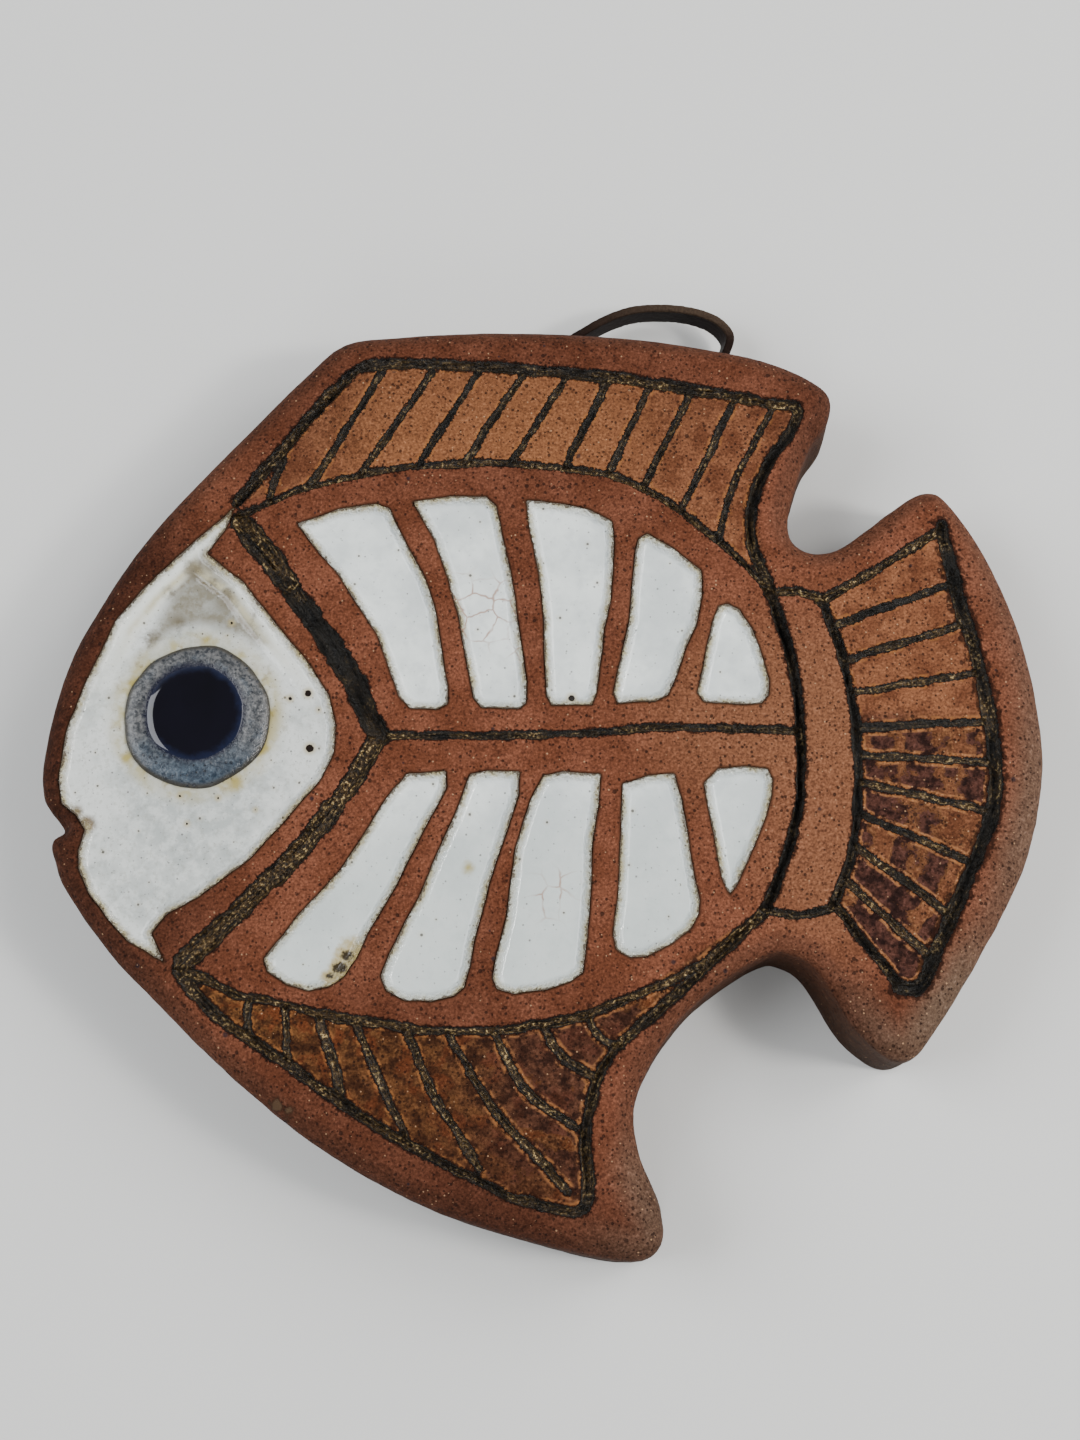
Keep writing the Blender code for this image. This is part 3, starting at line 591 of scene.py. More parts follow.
def buildLoop():
    # A band on edge: a rounded oblong section carried along the loop's line, its cut edges a little frayed
    line = loopLine(10)
    ahead = np.gradient(line, axis=0)
    ahead /= np.linalg.norm(ahead, axis=1)[:, None]
    side = np.column_stack([-ahead[:, 1], ahead[:, 0]])
    halfT, halfH, r = loop["thickness"] / 2, loop["height"] / 2, loop["round"]
    corner = np.linspace(0, math.pi / 2, 4)
    section = []
    for turn, (cx, cz) in enumerate([(halfT - r, halfH - r), (r - halfT, halfH - r),
                                     (r - halfT, r - halfH), (halfT - r, r - halfH)]):
        angle = corner + turn * math.pi / 2
        section.append(np.column_stack([cx + r * np.cos(angle), cz + r * np.sin(angle)]))
        if turn in (1, 3):
            rise = np.linspace(section[-1][-1, 1], -section[-1][-1, 1], 8)[1:-1]
            section.append(np.column_stack([np.full(6, section[-1][-1, 0]), rise]))
    section = np.concatenate(section)
    count = len(section)
    lean = loop["lean"] * smoothStep(0.55, 0.85, np.linspace(0, 1, len(line)))
    sideways = section[None, :, 0] + lean[:, None] * section[None, :, 1]
    offset = line[:, None, :] + side[:, None, :] * sideways[..., None]
    height = np.broadcast_to(loop["base"] + halfH + section[:, 1], (len(line), count))
    vertices = np.concatenate([offset, height[..., None]], axis=2).reshape(-1, 3)
    onEdge = np.abs(section[:, 1]) > halfH - 1.2 * r
    cut = np.tile(onEdge.astype(float), len(line))
    rough = softNoise(vertices[:, :2] * 3.1 + vertices[:, 2:] * 5.3, 1.0, 71)
    vertices[:, 2] += cut * rough * loop["fray"]
    i = np.arange(len(line) - 1)[:, None] * count
    j = np.arange(count)[None, :]
    k = (j + 1) % count
    faces = np.stack([i + j, i + k, i + count + k, i + count + j], axis=-1).reshape(-1, 4).tolist()
    faces.append(list(range(count))[::-1])
    faces.append(list(range(len(vertices) - count, len(vertices))))
    made = makeMesh("hangingLoop", vertices, faces, buildLeather(), {"cutEdge": cut})
    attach(made, "root")
    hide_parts("hanging_loop")


buildLoop()


# The slab

slab = {
    "step": 0.56, "snap": 0.24, "edgeInset": 0.9, "shoulder": 4.8, "drop": 5.0, "flare": 0.6, "foot": 1.0,
    "wallRings": 7, "undulation": 0.14, "wobble": 0.2, "crumble": 0.34, "clod": 0.3, "burr": 0.18,
    "cellRound": 0.28, "cellDrop": 0.4, "pocket": 1.5,
    "steepMiddle": (77.0, -24.0), "steepReach": 14.0, "steepShare": 0.42,
}
rimLine = place(smoothLine(outline, 4, closed=True))
poolLines = {name: place(tightLine(points)) for name, points in pools.items()}


def rimField(points):
    # Distance to the fish's outline, positive inside it
    return signedDistance(points, rimLine, fish["reach"])


def strokes():
    # Every carved line: its curve in millimetres, half width, depth, and how much gold it has and how far its
    # dark reaches
    found = []
    for points, width, depth, gold, darkReach in borders.values():
        found.append((place(smoothLine(points, 4)), width / 2, depth, gold, darkReach))
    for fin, lines in rays.items():
        width, depth, gold, darkReach = rayCut[fin]
        for number, points in enumerate(lines):
            richer = gold * (0.5 + 0.9 * ((number * 37) % 11) / 11)
            line = smoothLine(points, 4) if len(points) > 2 else np.array(points, float)
            found.append((place(line), width / 2, depth, richer, darkReach))
    return found


allStrokes = strokes()


def carved(points):
    # Distance out from the nearest carved line's lip, negative inside it, with the depth of the cut there,
    # the nearest line's gold and bleed, and the place across and along it. The cut is the deepest of the
    # lines' depths, each times a rounded trough: one less the share of the half width to the power 2.6
    moved = wobbled(points, slab["wobble"], 11)
    crumbled = wobbled(points, slab["crumble"], 15)
    lip = np.full(len(points), 5.0)
    found = {key: np.zeros(len(points)) for key in ("cut", "gold", "across", "along")}
    found["darkReach"] = np.full(len(points), 0.3)
    vary = 1 + 0.2 * softNoise(points, 4.5, 21) + 0.2 * softNoise(points, 1.5, 22)
    for number, (line, half, depth, gold, darkReach) in enumerate(allStrokes):
        gap, along, side = lineDistance(crumbled if gold > 0.7 and half < 1 else moved, line, half + 5)
        width = half * vary
        out = gap - width
        closer = out < lip
        lip[closer] = out[closer]
        found["gold"][closer] = gold
        found["darkReach"][closer] = darkReach
        found["across"][closer] = (gap * side)[closer]
        found["along"][closer] = along[closer] + 40 * number
        share = np.clip(gap / width, 0, 1)
        found["cut"] = np.maximum(found["cut"], depth * (1 - share**2.6) ** 0.8)
    return lip, found


def poolDistance(points):
    # Signed distance to the nearest pool's edge, positive inside it
    best = np.full(len(points), -4.0)
    moved = wobbled(points, 0.12, 31)
    for line in poolLines.values():
        low, high = line.min(axis=0) - 4, line.max(axis=0) + 4
        near = np.flatnonzero(((moved > low) & (moved < high)).all(axis=1))
        best[near] = np.maximum(best[near], signedDistance(moved[near], line, 4.0))
    return best


def softness(points):
    # How broad the shoulder is: its full size, less a bell round the steep place on the fourth power of the
    # distance from it
    away = np.linalg.norm(points - place([slab["steepMiddle"]])[0], axis=1)
    away /= slab["steepReach"] * fish["length"] / 100
    return 1 - (1 - slab["steepShare"]) * np.exp(-2 * away**4)


def shoulderDrop(points, inset):
    # A quarter of an ellipse: none at the shoulder's inner edge, the whole drop at the outline
    soft = softness(points)
    t = np.clip(1 - inset / (slab["shoulder"] * soft), 0, 1)
    return slab["drop"] * soft * (1 - np.sqrt(np.maximum(1 - t**2, 0)))


def regionOf(points, line, blur):
    # One inside the closed line and nothing outside it, blurred across the line
    return smoothStep(-blur, blur, signedDistance(points, line, blur + 1))


finRings = {
    "dorsal": [(18.8, 24.2), (23.3, 30.0), (29.2, 37.2), (32.6, 39.2), (42.5, 39.1), (54.0, 38.2),
               (65.5, 36.5), (76.2, 34.5), (71.2, 23.6), (72.9, 14.9), (68.0, 19.9), (62.4, 24.4),
               (57.0, 27.0), (50.0, 28.1), (41.6, 28.4), (33.6, 27.6), (25.9, 25.8)],
    "anal": [(14.6, -23.4), (21.4, -25.9), (32.2, -28.2), (41.6, -29.2), (50.0, -28.6), (59.4, -25.7),
             (71.6, -17.4), (65.8, -23.0), (59.0, -28.9), (55.6, -32.8), (54.0, -38.8), (54.0, -45.6),
             (49.0, -45.4), (41.6, -42.2), (32.4, -37.2), (25.3, -32.3), (18.3, -27.6)],
    "tail": [(78.0, 14.0), (90.5, 21.4), (91.8, 14.4), (93.8, 5.9), (94.7, -2.6), (93.9, -8.6),
             (91.0, -15.4), (86.4, -25.0), (84.3, -25.0), (78.2, -17.2), (80.1, -12.2), (81.1, -6.2),
             (81.0, 1.0), (79.9, 8.1)],
}


torn = {"root": (60.0, -2.0), "long": 3.4, "drop": 0.30, "ridge": 0.12, "rag": 0.16}


def tornPattern(points):
    # Blocks that run across each of the tail's cells: noise on the distance from the fan's root, cell by cell
    radius = np.linalg.norm(points - place([torn["root"]])[0], axis=1)
    cell = np.zeros(len(points))
    for line in rays["tail"]:
        a, b = place(line)
        cell += (b[0] - a[0]) * (points[:, 1] - a[1]) > (b[1] - a[1]) * (points[:, 0] - a[0])
    blocks = np.column_stack([radius / torn["long"] + 7.3 * cell, 3.7 * cell + 0.5])
    ragged = 0.34 * softNoise(points, 2.2, 46) + 0.22 * softNoise(points, 0.8, 47)
    return 0.85 * softNoise(blocks, 1.0, 45) + ragged + 0.25 * smoothStep(3.5, 0.5, cell) + 0.02


# Dark, grey or pale places on the clay, each with its reach and strength: what the firing did, with painted
# shade in the dark places on the left and lower rims and painted light in the grey ones on the outer side
kiln = {
    "duskAndShade": [(1, -2, 15, 1.0), (8, -18, 11, 0.8), (7, 16, 10, 1.0), (30, -43, 16, 0.6), (59, -50, 6.5, 0.8),
             (22, 37, 12, 0.5), (50, 46, 24, 0.5), (81, 36, 8, 0.6), (80, -30, 6, 0.7), (42, -27, 10, 0.3),
             (46, -47, 9, 0.8), (56, -30, 5, 0.4), (53, 12, 8, 0.2)],
    "warm": [(36, 33, 8, 0.8), (50, 33, 11, 1.0)],
    "ashAndLight": [(89, -27, 8, 0.9), (100, -8, 13, 0.7), (60, -45, 6, 0.6), (98, 13, 9, 0.2)],
    "pale": [(79, 1, 12, 1.0), (68, 2, 9, 0.7), (79, -14, 8, 0.9)],
}


def fired(points, marks):
    # Each mark fades with the cube of the distance, and marks that overlap add up to one at the most
    unit = (points + fish["middle"]) * 100 / fish["length"]
    left = np.ones(len(points))
    for x, y, reach, strength in marks:
        left *= 1 - strength * np.exp(-((np.linalg.norm(unit - (x, y), axis=1) / reach) ** 3))
    return 1 - left


def slabFields(points):
    # All that the slab's height and its clay need to know at a place
    lip, found = carved(points)
    pool = poolDistance(points)
    fins = {name: regionOf(points, place(line), 0.6) for name, line in finRings.items()}
    unit = (points + fish["middle"]) * 100 / fish["length"]
    # Worn, blotched clay: the lower cells of the tail, and less so the rear cells of the belly fin
    lowTail = fins["tail"] * smoothStep(3.0, 0.5, unit[:, 1])
    rearAnal = fins["anal"] * smoothStep(38, 50, unit[:, 0]) * 0.75
    return {
        "lip": lip, **found, "pool": pool, "fin": sum(fins.values()), "anal": fins["anal"],
        "worn": np.maximum(lowTail, rearAnal), "torn": tornPattern(points),
        **{key: fired(points, marks) for key, marks in kiln.items()},
    }


def slabHeight(points, fields, inset):
    # The level top with soft noise, less the shoulder's drop and the cut; plus ridges and clods on the cut's
    # floor and a burr, a bell on the distance to the lip; less the fins' lowered and rounded cells; plus the
    # torn cells' ridges and rag, less their flats; less the pools' pockets
    z = np.full(len(points), fish["top"])
    z += slab["undulation"] * softNoise(points, 26, 41) + 0.06 * softNoise(points, 7, 42)
    z += 0.035 * softNoise(points, 1.5, 43)
    z -= shoulderDrop(points, inset)
    lip = fields["lip"]
    outside = np.maximum(lip, 0)
    z -= fields["cut"]
    # The gouge leaves ridges along a wide groove's floor
    ridges = softNoise(np.column_stack([fields["across"] * 1.5, fields["along"] * 0.12]), 1.0, 48)
    z += 0.75 * ridges * smoothStep(-0.3, -1.1, lip)
    clods = softNoise(points, 1.0, 49) + 0.5 * softNoise(points, 0.5, 50)
    clotted = smoothStep(-0.12, -0.45, lip) * smoothStep(-1.9, -1.0, lip)
    z += slab["clod"] * clods * clotted * (0.3 + 0.7 * fields["gold"])
    z += slab["burr"] * np.exp(-((lip - 0.3) / 0.35) ** 2) * smoothStep(-0.2, 0.9, softNoise(points, 3.0, 44))
    z -= slab["cellDrop"] * fields["fin"] * (lip > -0.1)
    z -= slab["cellRound"] * fields["fin"] * np.exp(-outside / 0.8) * (lip > 0)
    patch = smoothStep(-0.28, -0.08, fields["torn"])
    ridge = np.exp(-((fields["torn"] + 0.36) / 0.13) ** 2)
    inCell = fields["worn"] * smoothStep(0.1, 0.7, lip)
    z += (torn["ridge"] * ridge - torn["drop"] * patch) * inCell
    rag = np.exp(-((lip - 0.5) / 0.25) ** 2) * smoothStep(-0.3, 0.4, softNoise(points, 1.3, 53))
    z += torn["rag"] * rag * fields["worn"]
    z -= slab["pocket"] * smoothStep(-0.1, 0.35, fields["pool"])
    z -= 0.12 * np.exp(-np.maximum(-fields["pool"], 0) / 0.5) * (fields["pool"] < 0)
    return z


mouth = {"place": (2.6, -9.4), "radius": 2.8, "depth": 1.3}


def buildSlab(material):
    # A grid over the top, its outer points on the shoulder's inner edge, then rings on round the shoulder,
    # down the wall and in under the foot
    edge = slab["edgeInset"]
    low, high = rimLine.min(axis=0) - 1, rimLine.max(axis=0) + 1
    points, quads, rim, onRim = trimmedGrid(lambda p: rimField(p) - edge, low, high, slab["step"])
    # Grid points close to a carved lip or a pool's edge slide on to it, so that the edge is clean
    free = np.setdiff1d(np.arange(len(points)), onRim)
    for field in (lambda p: carved(p)[0], poolDistance):
        close = free[np.abs(field(points[free])) < slab["snap"]]
        points[close] = snapTo(points[close], field, rounds=1)
    fields = slabFields(points)
    inset = rimField(points)
    height = slabHeight(points, fields, inset)
    mouthGap = np.linalg.norm(points - place([mouth["place"]])[0], axis=1)
    height -= mouth["depth"] * smoothStep(mouth["radius"], 0.4, mouthGap)
    faces = triangles(quads, height)
    outward = -slope(rimField, points[onRim], 0.3)
    # Rings below the grid's rim: on round the shoulder, down the wall to the flared foot, then in underneath
    levels = []
    onward = height[onRim] + shoulderDrop(points[onRim], edge)
    for left in (0.62, 0.38, 0.19, 0.06, 0.0):
        levels.append((edge - left, onward - shoulderDrop(points[onRim], left)))
    wallTop = levels[-1][1]
    for share in np.linspace(0, 1, slab["wallRings"] + 1)[1:]:
        levels.append((edge + slab["flare"] * share, wallTop + (slab["foot"] - wallTop) * share))
    levels.append((edge + slab["flare"] - 0.4 * slab["foot"], np.full(len(onRim), 0.25 * slab["foot"])))
    levels.append((edge + slab["flare"] - slab["foot"], np.zeros(len(onRim))))
    levels.append((edge + slab["flare"] - 3.0, np.zeros(len(onRim))))
    vertices = [np.column_stack([points, height])]
    ringIndex = [np.arange(len(points))]
    extra = {key: [values] for key, values in fields.items()}
    extra["rim"] = [inset]
    start = len(points)
    for reach, z in levels:
        ring = points[onRim] + outward * reach
        wave = softNoise(ring + z[:, None] * (0.9, -0.7), 7.0, 51)
        wave += 0.4 * softNoise(ring + z[:, None], 2.3, 52)
        body = smoothStep(0.0, 1.5, z) * smoothStep(edge - 0.5, edge, reach)
        ring = ring + outward * (0.16 * wave * body)[:, None]
        vertices.append(np.column_stack([ring, z]))
        index = np.zeros(len(points), int)
        index[onRim] = np.arange(start, start + len(onRim))
        ringIndex.append(index)
        start += len(onRim)
        for key, values in fields.items():
            extra[key].append(values[onRim])
        extra["rim"].append(np.full(len(onRim), edge - reach))
    faces = faces.tolist() + skirt(rim, ringIndex).tolist()
    values = {key: np.concatenate(parts) for key, parts in extra.items()}
    made = makeMesh("trivetSlab", np.concatenate(vertices), faces, material, values)
    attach(made, "root")
    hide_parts("fish_trivet")
    print("slab", len(made.data.polygons), "faces")


# How the two noises of the grain darken and lighten the clay: from, to, strength and tint
grainSteps = {
    "fine": [(0.50, 0.36, 0.60, (0.34, 0.30, 0.30)), (0.54, 0.68, 0.65, (1.7, 1.85, 2.0))],
    "coarse": [(0.46, 0.34, 0.50, (0.42, 0.37, 0.37)), (0.56, 0.70, 0.50, (1.5, 1.6, 1.7))],
}
# Colours of the clay and the oxide, from dark to light where there are two
clayColours = {
    "rust": ((0.094, 0.0295, 0.014), (0.138, 0.0475, 0.025)), "pale": (0.158, 0.065, 0.032),
    "tan": ((0.098, 0.0335, 0.015), (0.172, 0.067, 0.031)), "warm": (0.262, 0.106, 0.044),
    "olive": ((0.018, 0.0075, 0.0024), (0.118, 0.05, 0.015)), "red": (0.09, 0.0225, 0.006),
    "flat": ((0.014, 0.0056, 0.0044), (0.062, 0.024, 0.0165)),
    "scraped": ((0.04, 0.015, 0.006), (0.2, 0.085, 0.035)), "dull": (0.06, 0.021, 0.0085),
    "dullSpots": (0.03, 0.0095, 0.0055), "tornLip": (0.23, 0.1, 0.043),
    "slope": ((0.066, 0.024, 0.0125), (0.108, 0.042, 0.024)),
    "duskAndShade": ((0.02, 0.0062, 0.003), (0.04, 0.013, 0.007)),
    "ashAndLight": ((0.064, 0.04, 0.025), (0.126, 0.085, 0.058)),
    "wall": ((0.0095, 0.0042, 0.002), (0.04, 0.0185, 0.0095)), "blueSpeck": (0.012, 0.01, 0.0135),
    "speck": (0.013, 0.0055, 0.004), "chipEdge": (0.022, 0.012, 0.007), "chip": (0.085, 0.052, 0.029),
    "grog": (0.42, 0.25, 0.14), "rubbedLitLip": (0.25, 0.1, 0.032), "bled": (0.016, 0.0052, 0.0026),
    "seam": (0.016, 0.008, 0.0035), "black": ((0.0012, 0.001, 0.0009), (0.0135, 0.011, 0.008)),
    "grit": ((0.006, 0.0032, 0.0012), (0.09, 0.052, 0.018)), "glint": (0.46, 0.33, 0.15),
}


def buildClay():
    # Brown and rust clay; over it the stains, worn cells, the browner outer slope and kiln marks, partly
    # painted shade and painted light, grain, specks and chips; then the pale lips, partly a painted
    # highlight, and last the black oxide in the carved lines, which wins where the distance to the lip is
    # negative
    colours = clayColours
    material, shader, coords = newMaterial("redStoneware", 0.75)
    clay = useGroup(grain, Vector=coords)
    lip, pool, rim = (attributeOf(key) for key in ("lip", "pool", "rim"))
    fin, anal, worn, tornHere = (attributeOf(key) for key in ("fin", "anal", "worn", "torn"))
    gold, darkReach = attributeOf("gold"), attributeOf("darkReach")
    duskAndShade, ashAndLight, pale = (attributeOf(key) for key in ("duskAndShade", "ashAndLight", "pale"))
    fine, mottle = clay["Fine"], clay["Mottle"]
    patches = noiseOf(coords, 190, 4, 0.6)
    wide = noiseOf(coords, 42, 3, 0.5)
    blots = noiseOf(coords, 420, 4, 0.65)
    rusty = mixed(stepped(mottle, 0.35, 0.65), *colours["rust"])
    rusty = mixed(times(pale, 0.9), rusty, colours["pale"])
    tan = mixed(stepped(patches, 0.34, 0.66), *colours["tan"])
    tan = mixed(times(attributeOf("warm"), 0.8), tan, colours["warm"])
    base = mixed(fin, rusty, tan)
    # The belly fin's cells are stained olive and dark red
    stained = mixed(stepped(blots, 0.40, 0.62), *colours["olive"])
    stained = mixed(stepped(patches, 0.50, 0.62), stained, colours["red"])
    base = mixed(times(anal, 0.85), base, stained)
    # Worn cells: brown clay, dark flats that end in torn, paler clay, and ragged pale lips
    frayed = shaken(tornHere, fine, 0.8)
    flat = mixed(stepped(blots, 0.38, 0.62), *colours["flat"])
    scraped = mixed(fine, *colours["scraped"])
    dulled = mixed(0.4, base, colours["dull"])
    dulled = mixed(stepped(blots, 0.56, 0.66, 0.0, 0.6), dulled, colours["dullSpots"])
    shown = mixed(stepped(frayed, -0.42, -0.20, 0.0, 0.6), dulled, scraped)
    shown = mixed(stepped(frayed, -0.16, -0.04), shown, flat)
    lipRag = maths("ABSOLUTE", maths("SUBTRACT", maths("MULTIPLY_ADD", fine, 0.6, lip), 0.85))
    lipRag = times(stepped(lipRag, 0.32, 0.10), stepped(blots, 0.42, 0.54, 0.0, 0.75))
    base = mixed(worn, base, mixed(lipRag, shown, colours["tornLip"]))
    # Down the rim's outer slope the clay is browner and darker: partly its own tone, partly painted shade
    # where the slope turns away from the light
    slopeEdge = shaken(shaken(rim, wide, 3.0), blots, 0.8)
    outer = stepped(slopeEdge, 4.8, 2.2)
    brown = mixed(blots, *colours["slope"])
    base = mixed(times(outer, 0.85), base, brown)
    # Maroon dark marks, partly the firing and partly painted shade, and grey ash on the outer side, partly
    # the firing and partly painted light
    shade = mixed(stepped(blots, 0.35, 0.65), *colours["duskAndShade"])
    base = mixed(times(duskAndShade, 0.88), base, shade)
    ashyAndLit = mixed(blots, *colours["ashAndLight"])
    ashAndLightShare = times(ashAndLight, stepped(slopeEdge, 9.0, 3.0, 0.0, 0.9))
    base = mixed(ashAndLightShare, base, ashyAndLit)
    wall = stepped(rim, 0.4, -0.5)
    olive = mixed(blots, *colours["wall"])
    base = mixed(times(wall, 0.85), base, olive)
    # Fine grain darkens and lightens what is there; specks and grog lie on top
    grains = noiseOf(coords, 900, 3, 0.6)
    for noise, steps in ((fine, grainSteps["fine"]), (grains, grainSteps["coarse"])):
        for low, high, most, tint in steps:
            base = mixed(stepped(noise, low, high, 0.0, most), base, tint, "MULTIPLY")
    blue = dotsOf(coords, 62, 0.045, 0.6, 0.55, flat=True)
    base = mixed(times(blue, 0.8), base, colours["blueSpeck"])
    base = mixed(times(clay["Specks"], 0.75), base, colours["speck"])
    chip = shaken(nearestSpot(coords, chips), blots, 0.004)
    above = stepped(rim, 0.1, 0.9, 0.0, 0.7)  # not down the wall
    base = mixed(times(above, stepped(chip, 0.0006, -0.0002)), base, colours["chipEdge"])
    base = mixed(times(above, stepped(chip, 0.0, -0.0006)), base, colours["chip"])
    base = mixed(times(clay["Grog"], 0.6), base, colours["grog"])
    # A thin worn lip, pale where the oxide has worn off and also a painted highlight on the rounded lip, and
    # the black that reaches out past the lip on to the clay
    ragged = shaken(lip, fine, 0.8)
    # Painted highlight: the pale lip also stands for light on its rounded edge
    rubbedAndLit = times(stepped(ragged, 0.75, 0.35), stepped(blots, 0.45, 0.6))
    base = mixed(times(rubbedAndLit, times(fin, 0.6)), base, colours["rubbedLitLip"])
    bled = maths("DIVIDE", shaken(shaken(lip, fine, 1.04), grains, times(darkReach, 3.2)), darkReach)
    base = mixed(stepped(bled, 1.1, 0.25, 0.0, 0.88), base, colours["bled"])
    # Next to a glaze the clay is stained dark, in a thin line
    nearGlaze = stepped(shaken(pool, fine, 0.8), -0.6, 0.0)
    base = mixed(times(nearGlaze, 0.85), base, colours["seam"])
    # Oxide in the carved lines: near black by the sides, with olive and gold grit streaked along the floor,
    # its brightest specks also painted glints
    wash = stepped(ragged, 0.12, -0.10)
    streaks = useGroup(gouge, Across=attributeOf("across"), Along=attributeOf("along"))["Streaks"]
    grit = noiseOf(coords, 1500, 2, 0.6)
    patchy = noiseOf(coords, 130, 3, 0.6)
    rich = stepped(plus(gold, times(patchy, 1.3)), 0.70, 1.25)
    rich = times(rich, stepped(lip, -0.10, -0.40))
    black = mixed(stepped(streaks, 0.36, 0.66), *colours["black"])
    oliveGrit = mixed(stepped(grit, 0.3, 0.7), *colours["grit"])
    streaked = stepped(streaks, 0.34, 0.56)
    oxide = mixed(times(rich, streaked), black, oliveGrit)
    # Painted highlight: the brightest grit specks stand for glints of sparkle as well as gold grit
    sparse = times(stepped(grit, 0.56, 0.66), stepped(patches, 0.40, 0.58, 0.25, 1.0))
    glints = times(sparse, times(rich, streaked))
    oxide = mixed(glints, oxide, colours["glint"])
    base = mixed(wash, base, oxide)
    feed(shader.inputs["Base Color"], base)
    rough = maths("MULTIPLY_ADD", fine, 0.3, 0.55)
    feed(shader.inputs["Roughness"], maths("MULTIPLY_ADD", wash, -0.36, rough))
    feed(shader.inputs["Specular IOR Level"], maths("MULTIPLY_ADD", wash, 0.15, 0.05))
    height = plus(clay["Height"], times(blots, 0.12))
    gritty = times(plus(grit, streaks), times(wash, 0.55))
    raiseBump(shader, plus(height, gritty))
    return material


buildSlab(buildClay())


# The glazes

glaze = {"step": 0.42, "centre": 0.92, "edge": 0.10, "climb": 0.9, "floor": 1.35, "headBand": 0.5}
headMarks = {
    "stain": [(15.8, 19.0), (18.9, 14.4), (22.4, 9.2), (18.6, 10.4), (15.5, 11.4), (12.4, 10.6), (10.4, 9.0),
              (12.9, 14.8)],
    "bandFrom": (-1.0, 13.0), "bandEdges": (0.9, 4.6), "crest": 3.3, "crestFrom": (5.0, 15.0),
}
# Pin holes in the glaze: place and radius in millimetres
pinHoles = [(26.5, 4.2, 0.62), (24.7, 3.7, 0.36), (26.8, -1.4, 0.75), (52.8, 3.7, 0.62), (18.6, 11.5, 0.22),
            (23.9, 10.6, 0.20), (14.1, -6.2, 0.18), (17.9, -6.4, 0.20), (14.9, -9.0, 0.18), (27.6, 2.5, 0.16),
            (25.6, 8.2, 0.16), (21.6, -7.6, 0.14), (46.7, 20.3, 0.16)]
burnt = [(30.9, -22.0, 0.75), (30.4, -23.2, 1.0), (29.6, -24.1, 0.45), (31.5, -20.9, 0.3)]  # a scorched place
thinSpots = [(5.1, -9.0, 1.3), (4.1, -7.8, 0.7), (9.3, -20.0, 0.35)]
smudges = [(14.8, 17.0, 0.9), (16.4, 15.3, 0.5), (18.2, 13.9, 0.8), (20.8, 11.6, 0.4), (12.4, 14.6, 0.3),
           (13.2, 11.6, 0.5), (10.6, 9.8, 0.4)]
yellows = [(19.6, -4.8, 0.9), (22.0, -1.2, 0.7), (9.0, 5.2, 0.4), (8.6, -2.4, 0.5), (42.6, -13.4, 0.05),
           (22.8, 2.2, 0.3), (16.0, 9.6, 0.3)]
crackles = [(43.6, 13.0, 9.0), (51.0, -16.0, 6.0), (47.6, 8.4, 3.0)]


def buildPool(name, line, material, step):
    # A pool of glaze: nearly level, climbing its clay wall at the edge, closed underneath
    def field(points):
        return signedDistance(wobbled(points, 0.12, 31), line, fish["reach"])

    points, quads, rim, _ = trimmedGrid(field, line.min(axis=0) - 1, line.max(axis=0) + 1, step)
    depth = np.maximum(field(points), 0)
    sunk = glaze["centre"] + (glaze["edge"] - glaze["centre"]) * np.exp(-depth / glaze["climb"])
    z = fish["top"] - sunk + 0.07 * softNoise(points, 6.0, 61) + 0.02 * softNoise(points, 1.8, 62)
    values = {"edge": depth}
    if name == "headPool":
        # Two raised white bands meet at the top of the head, over a stain, and the glaze is thin by the eye
        unit = (points + fish["middle"]) * 100 / fish["length"]
        near, far = headMarks["bandEdges"]
        upper = smoothStep(*headMarks["bandFrom"], unit[:, 1])
        band = smoothStep(near - 0.6, near + 0.5, depth) * smoothStep(far + 0.8, far - 0.8, depth) * upper
        z += glaze["headBand"] * band
        stain = signedDistance(points, place(smoothLine(headMarks["stain"], 3, closed=True)), 4.0)
        gap = np.linalg.norm(points - place([eye["centre"]])[0], axis=1) - eye["radius"]
        crest = np.exp(-(((depth - headMarks["crest"]) / 0.75) ** 2))
        crest *= smoothStep(*headMarks["crestFrom"], unit[:, 1])
        values.update(band=band, crest=crest, stain=smoothStep(-1.6, 1.6, stain),
                      eyeNear=smoothStep(4.2, 0.2, gap), head=np.ones(len(points)))
    top = triangles(quads, z)
    count = len(points)
    under = fish["top"] - glaze["floor"]
    side = np.column_stack([rim[:, 1], rim[:, 0], rim[:, 0] + count, rim[:, 1] + count])
    faces = top.tolist() + (top[:, ::-1] + count).tolist() + side.tolist()
    vertices = np.column_stack([np.tile(points, (2, 1)), np.concatenate([z, np.full(count, under)])])
    values = {key: np.tile(value, 2) for key, value in values.items()}
    made = makeMesh(name, vertices, faces, material, values)
    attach(made, "root")


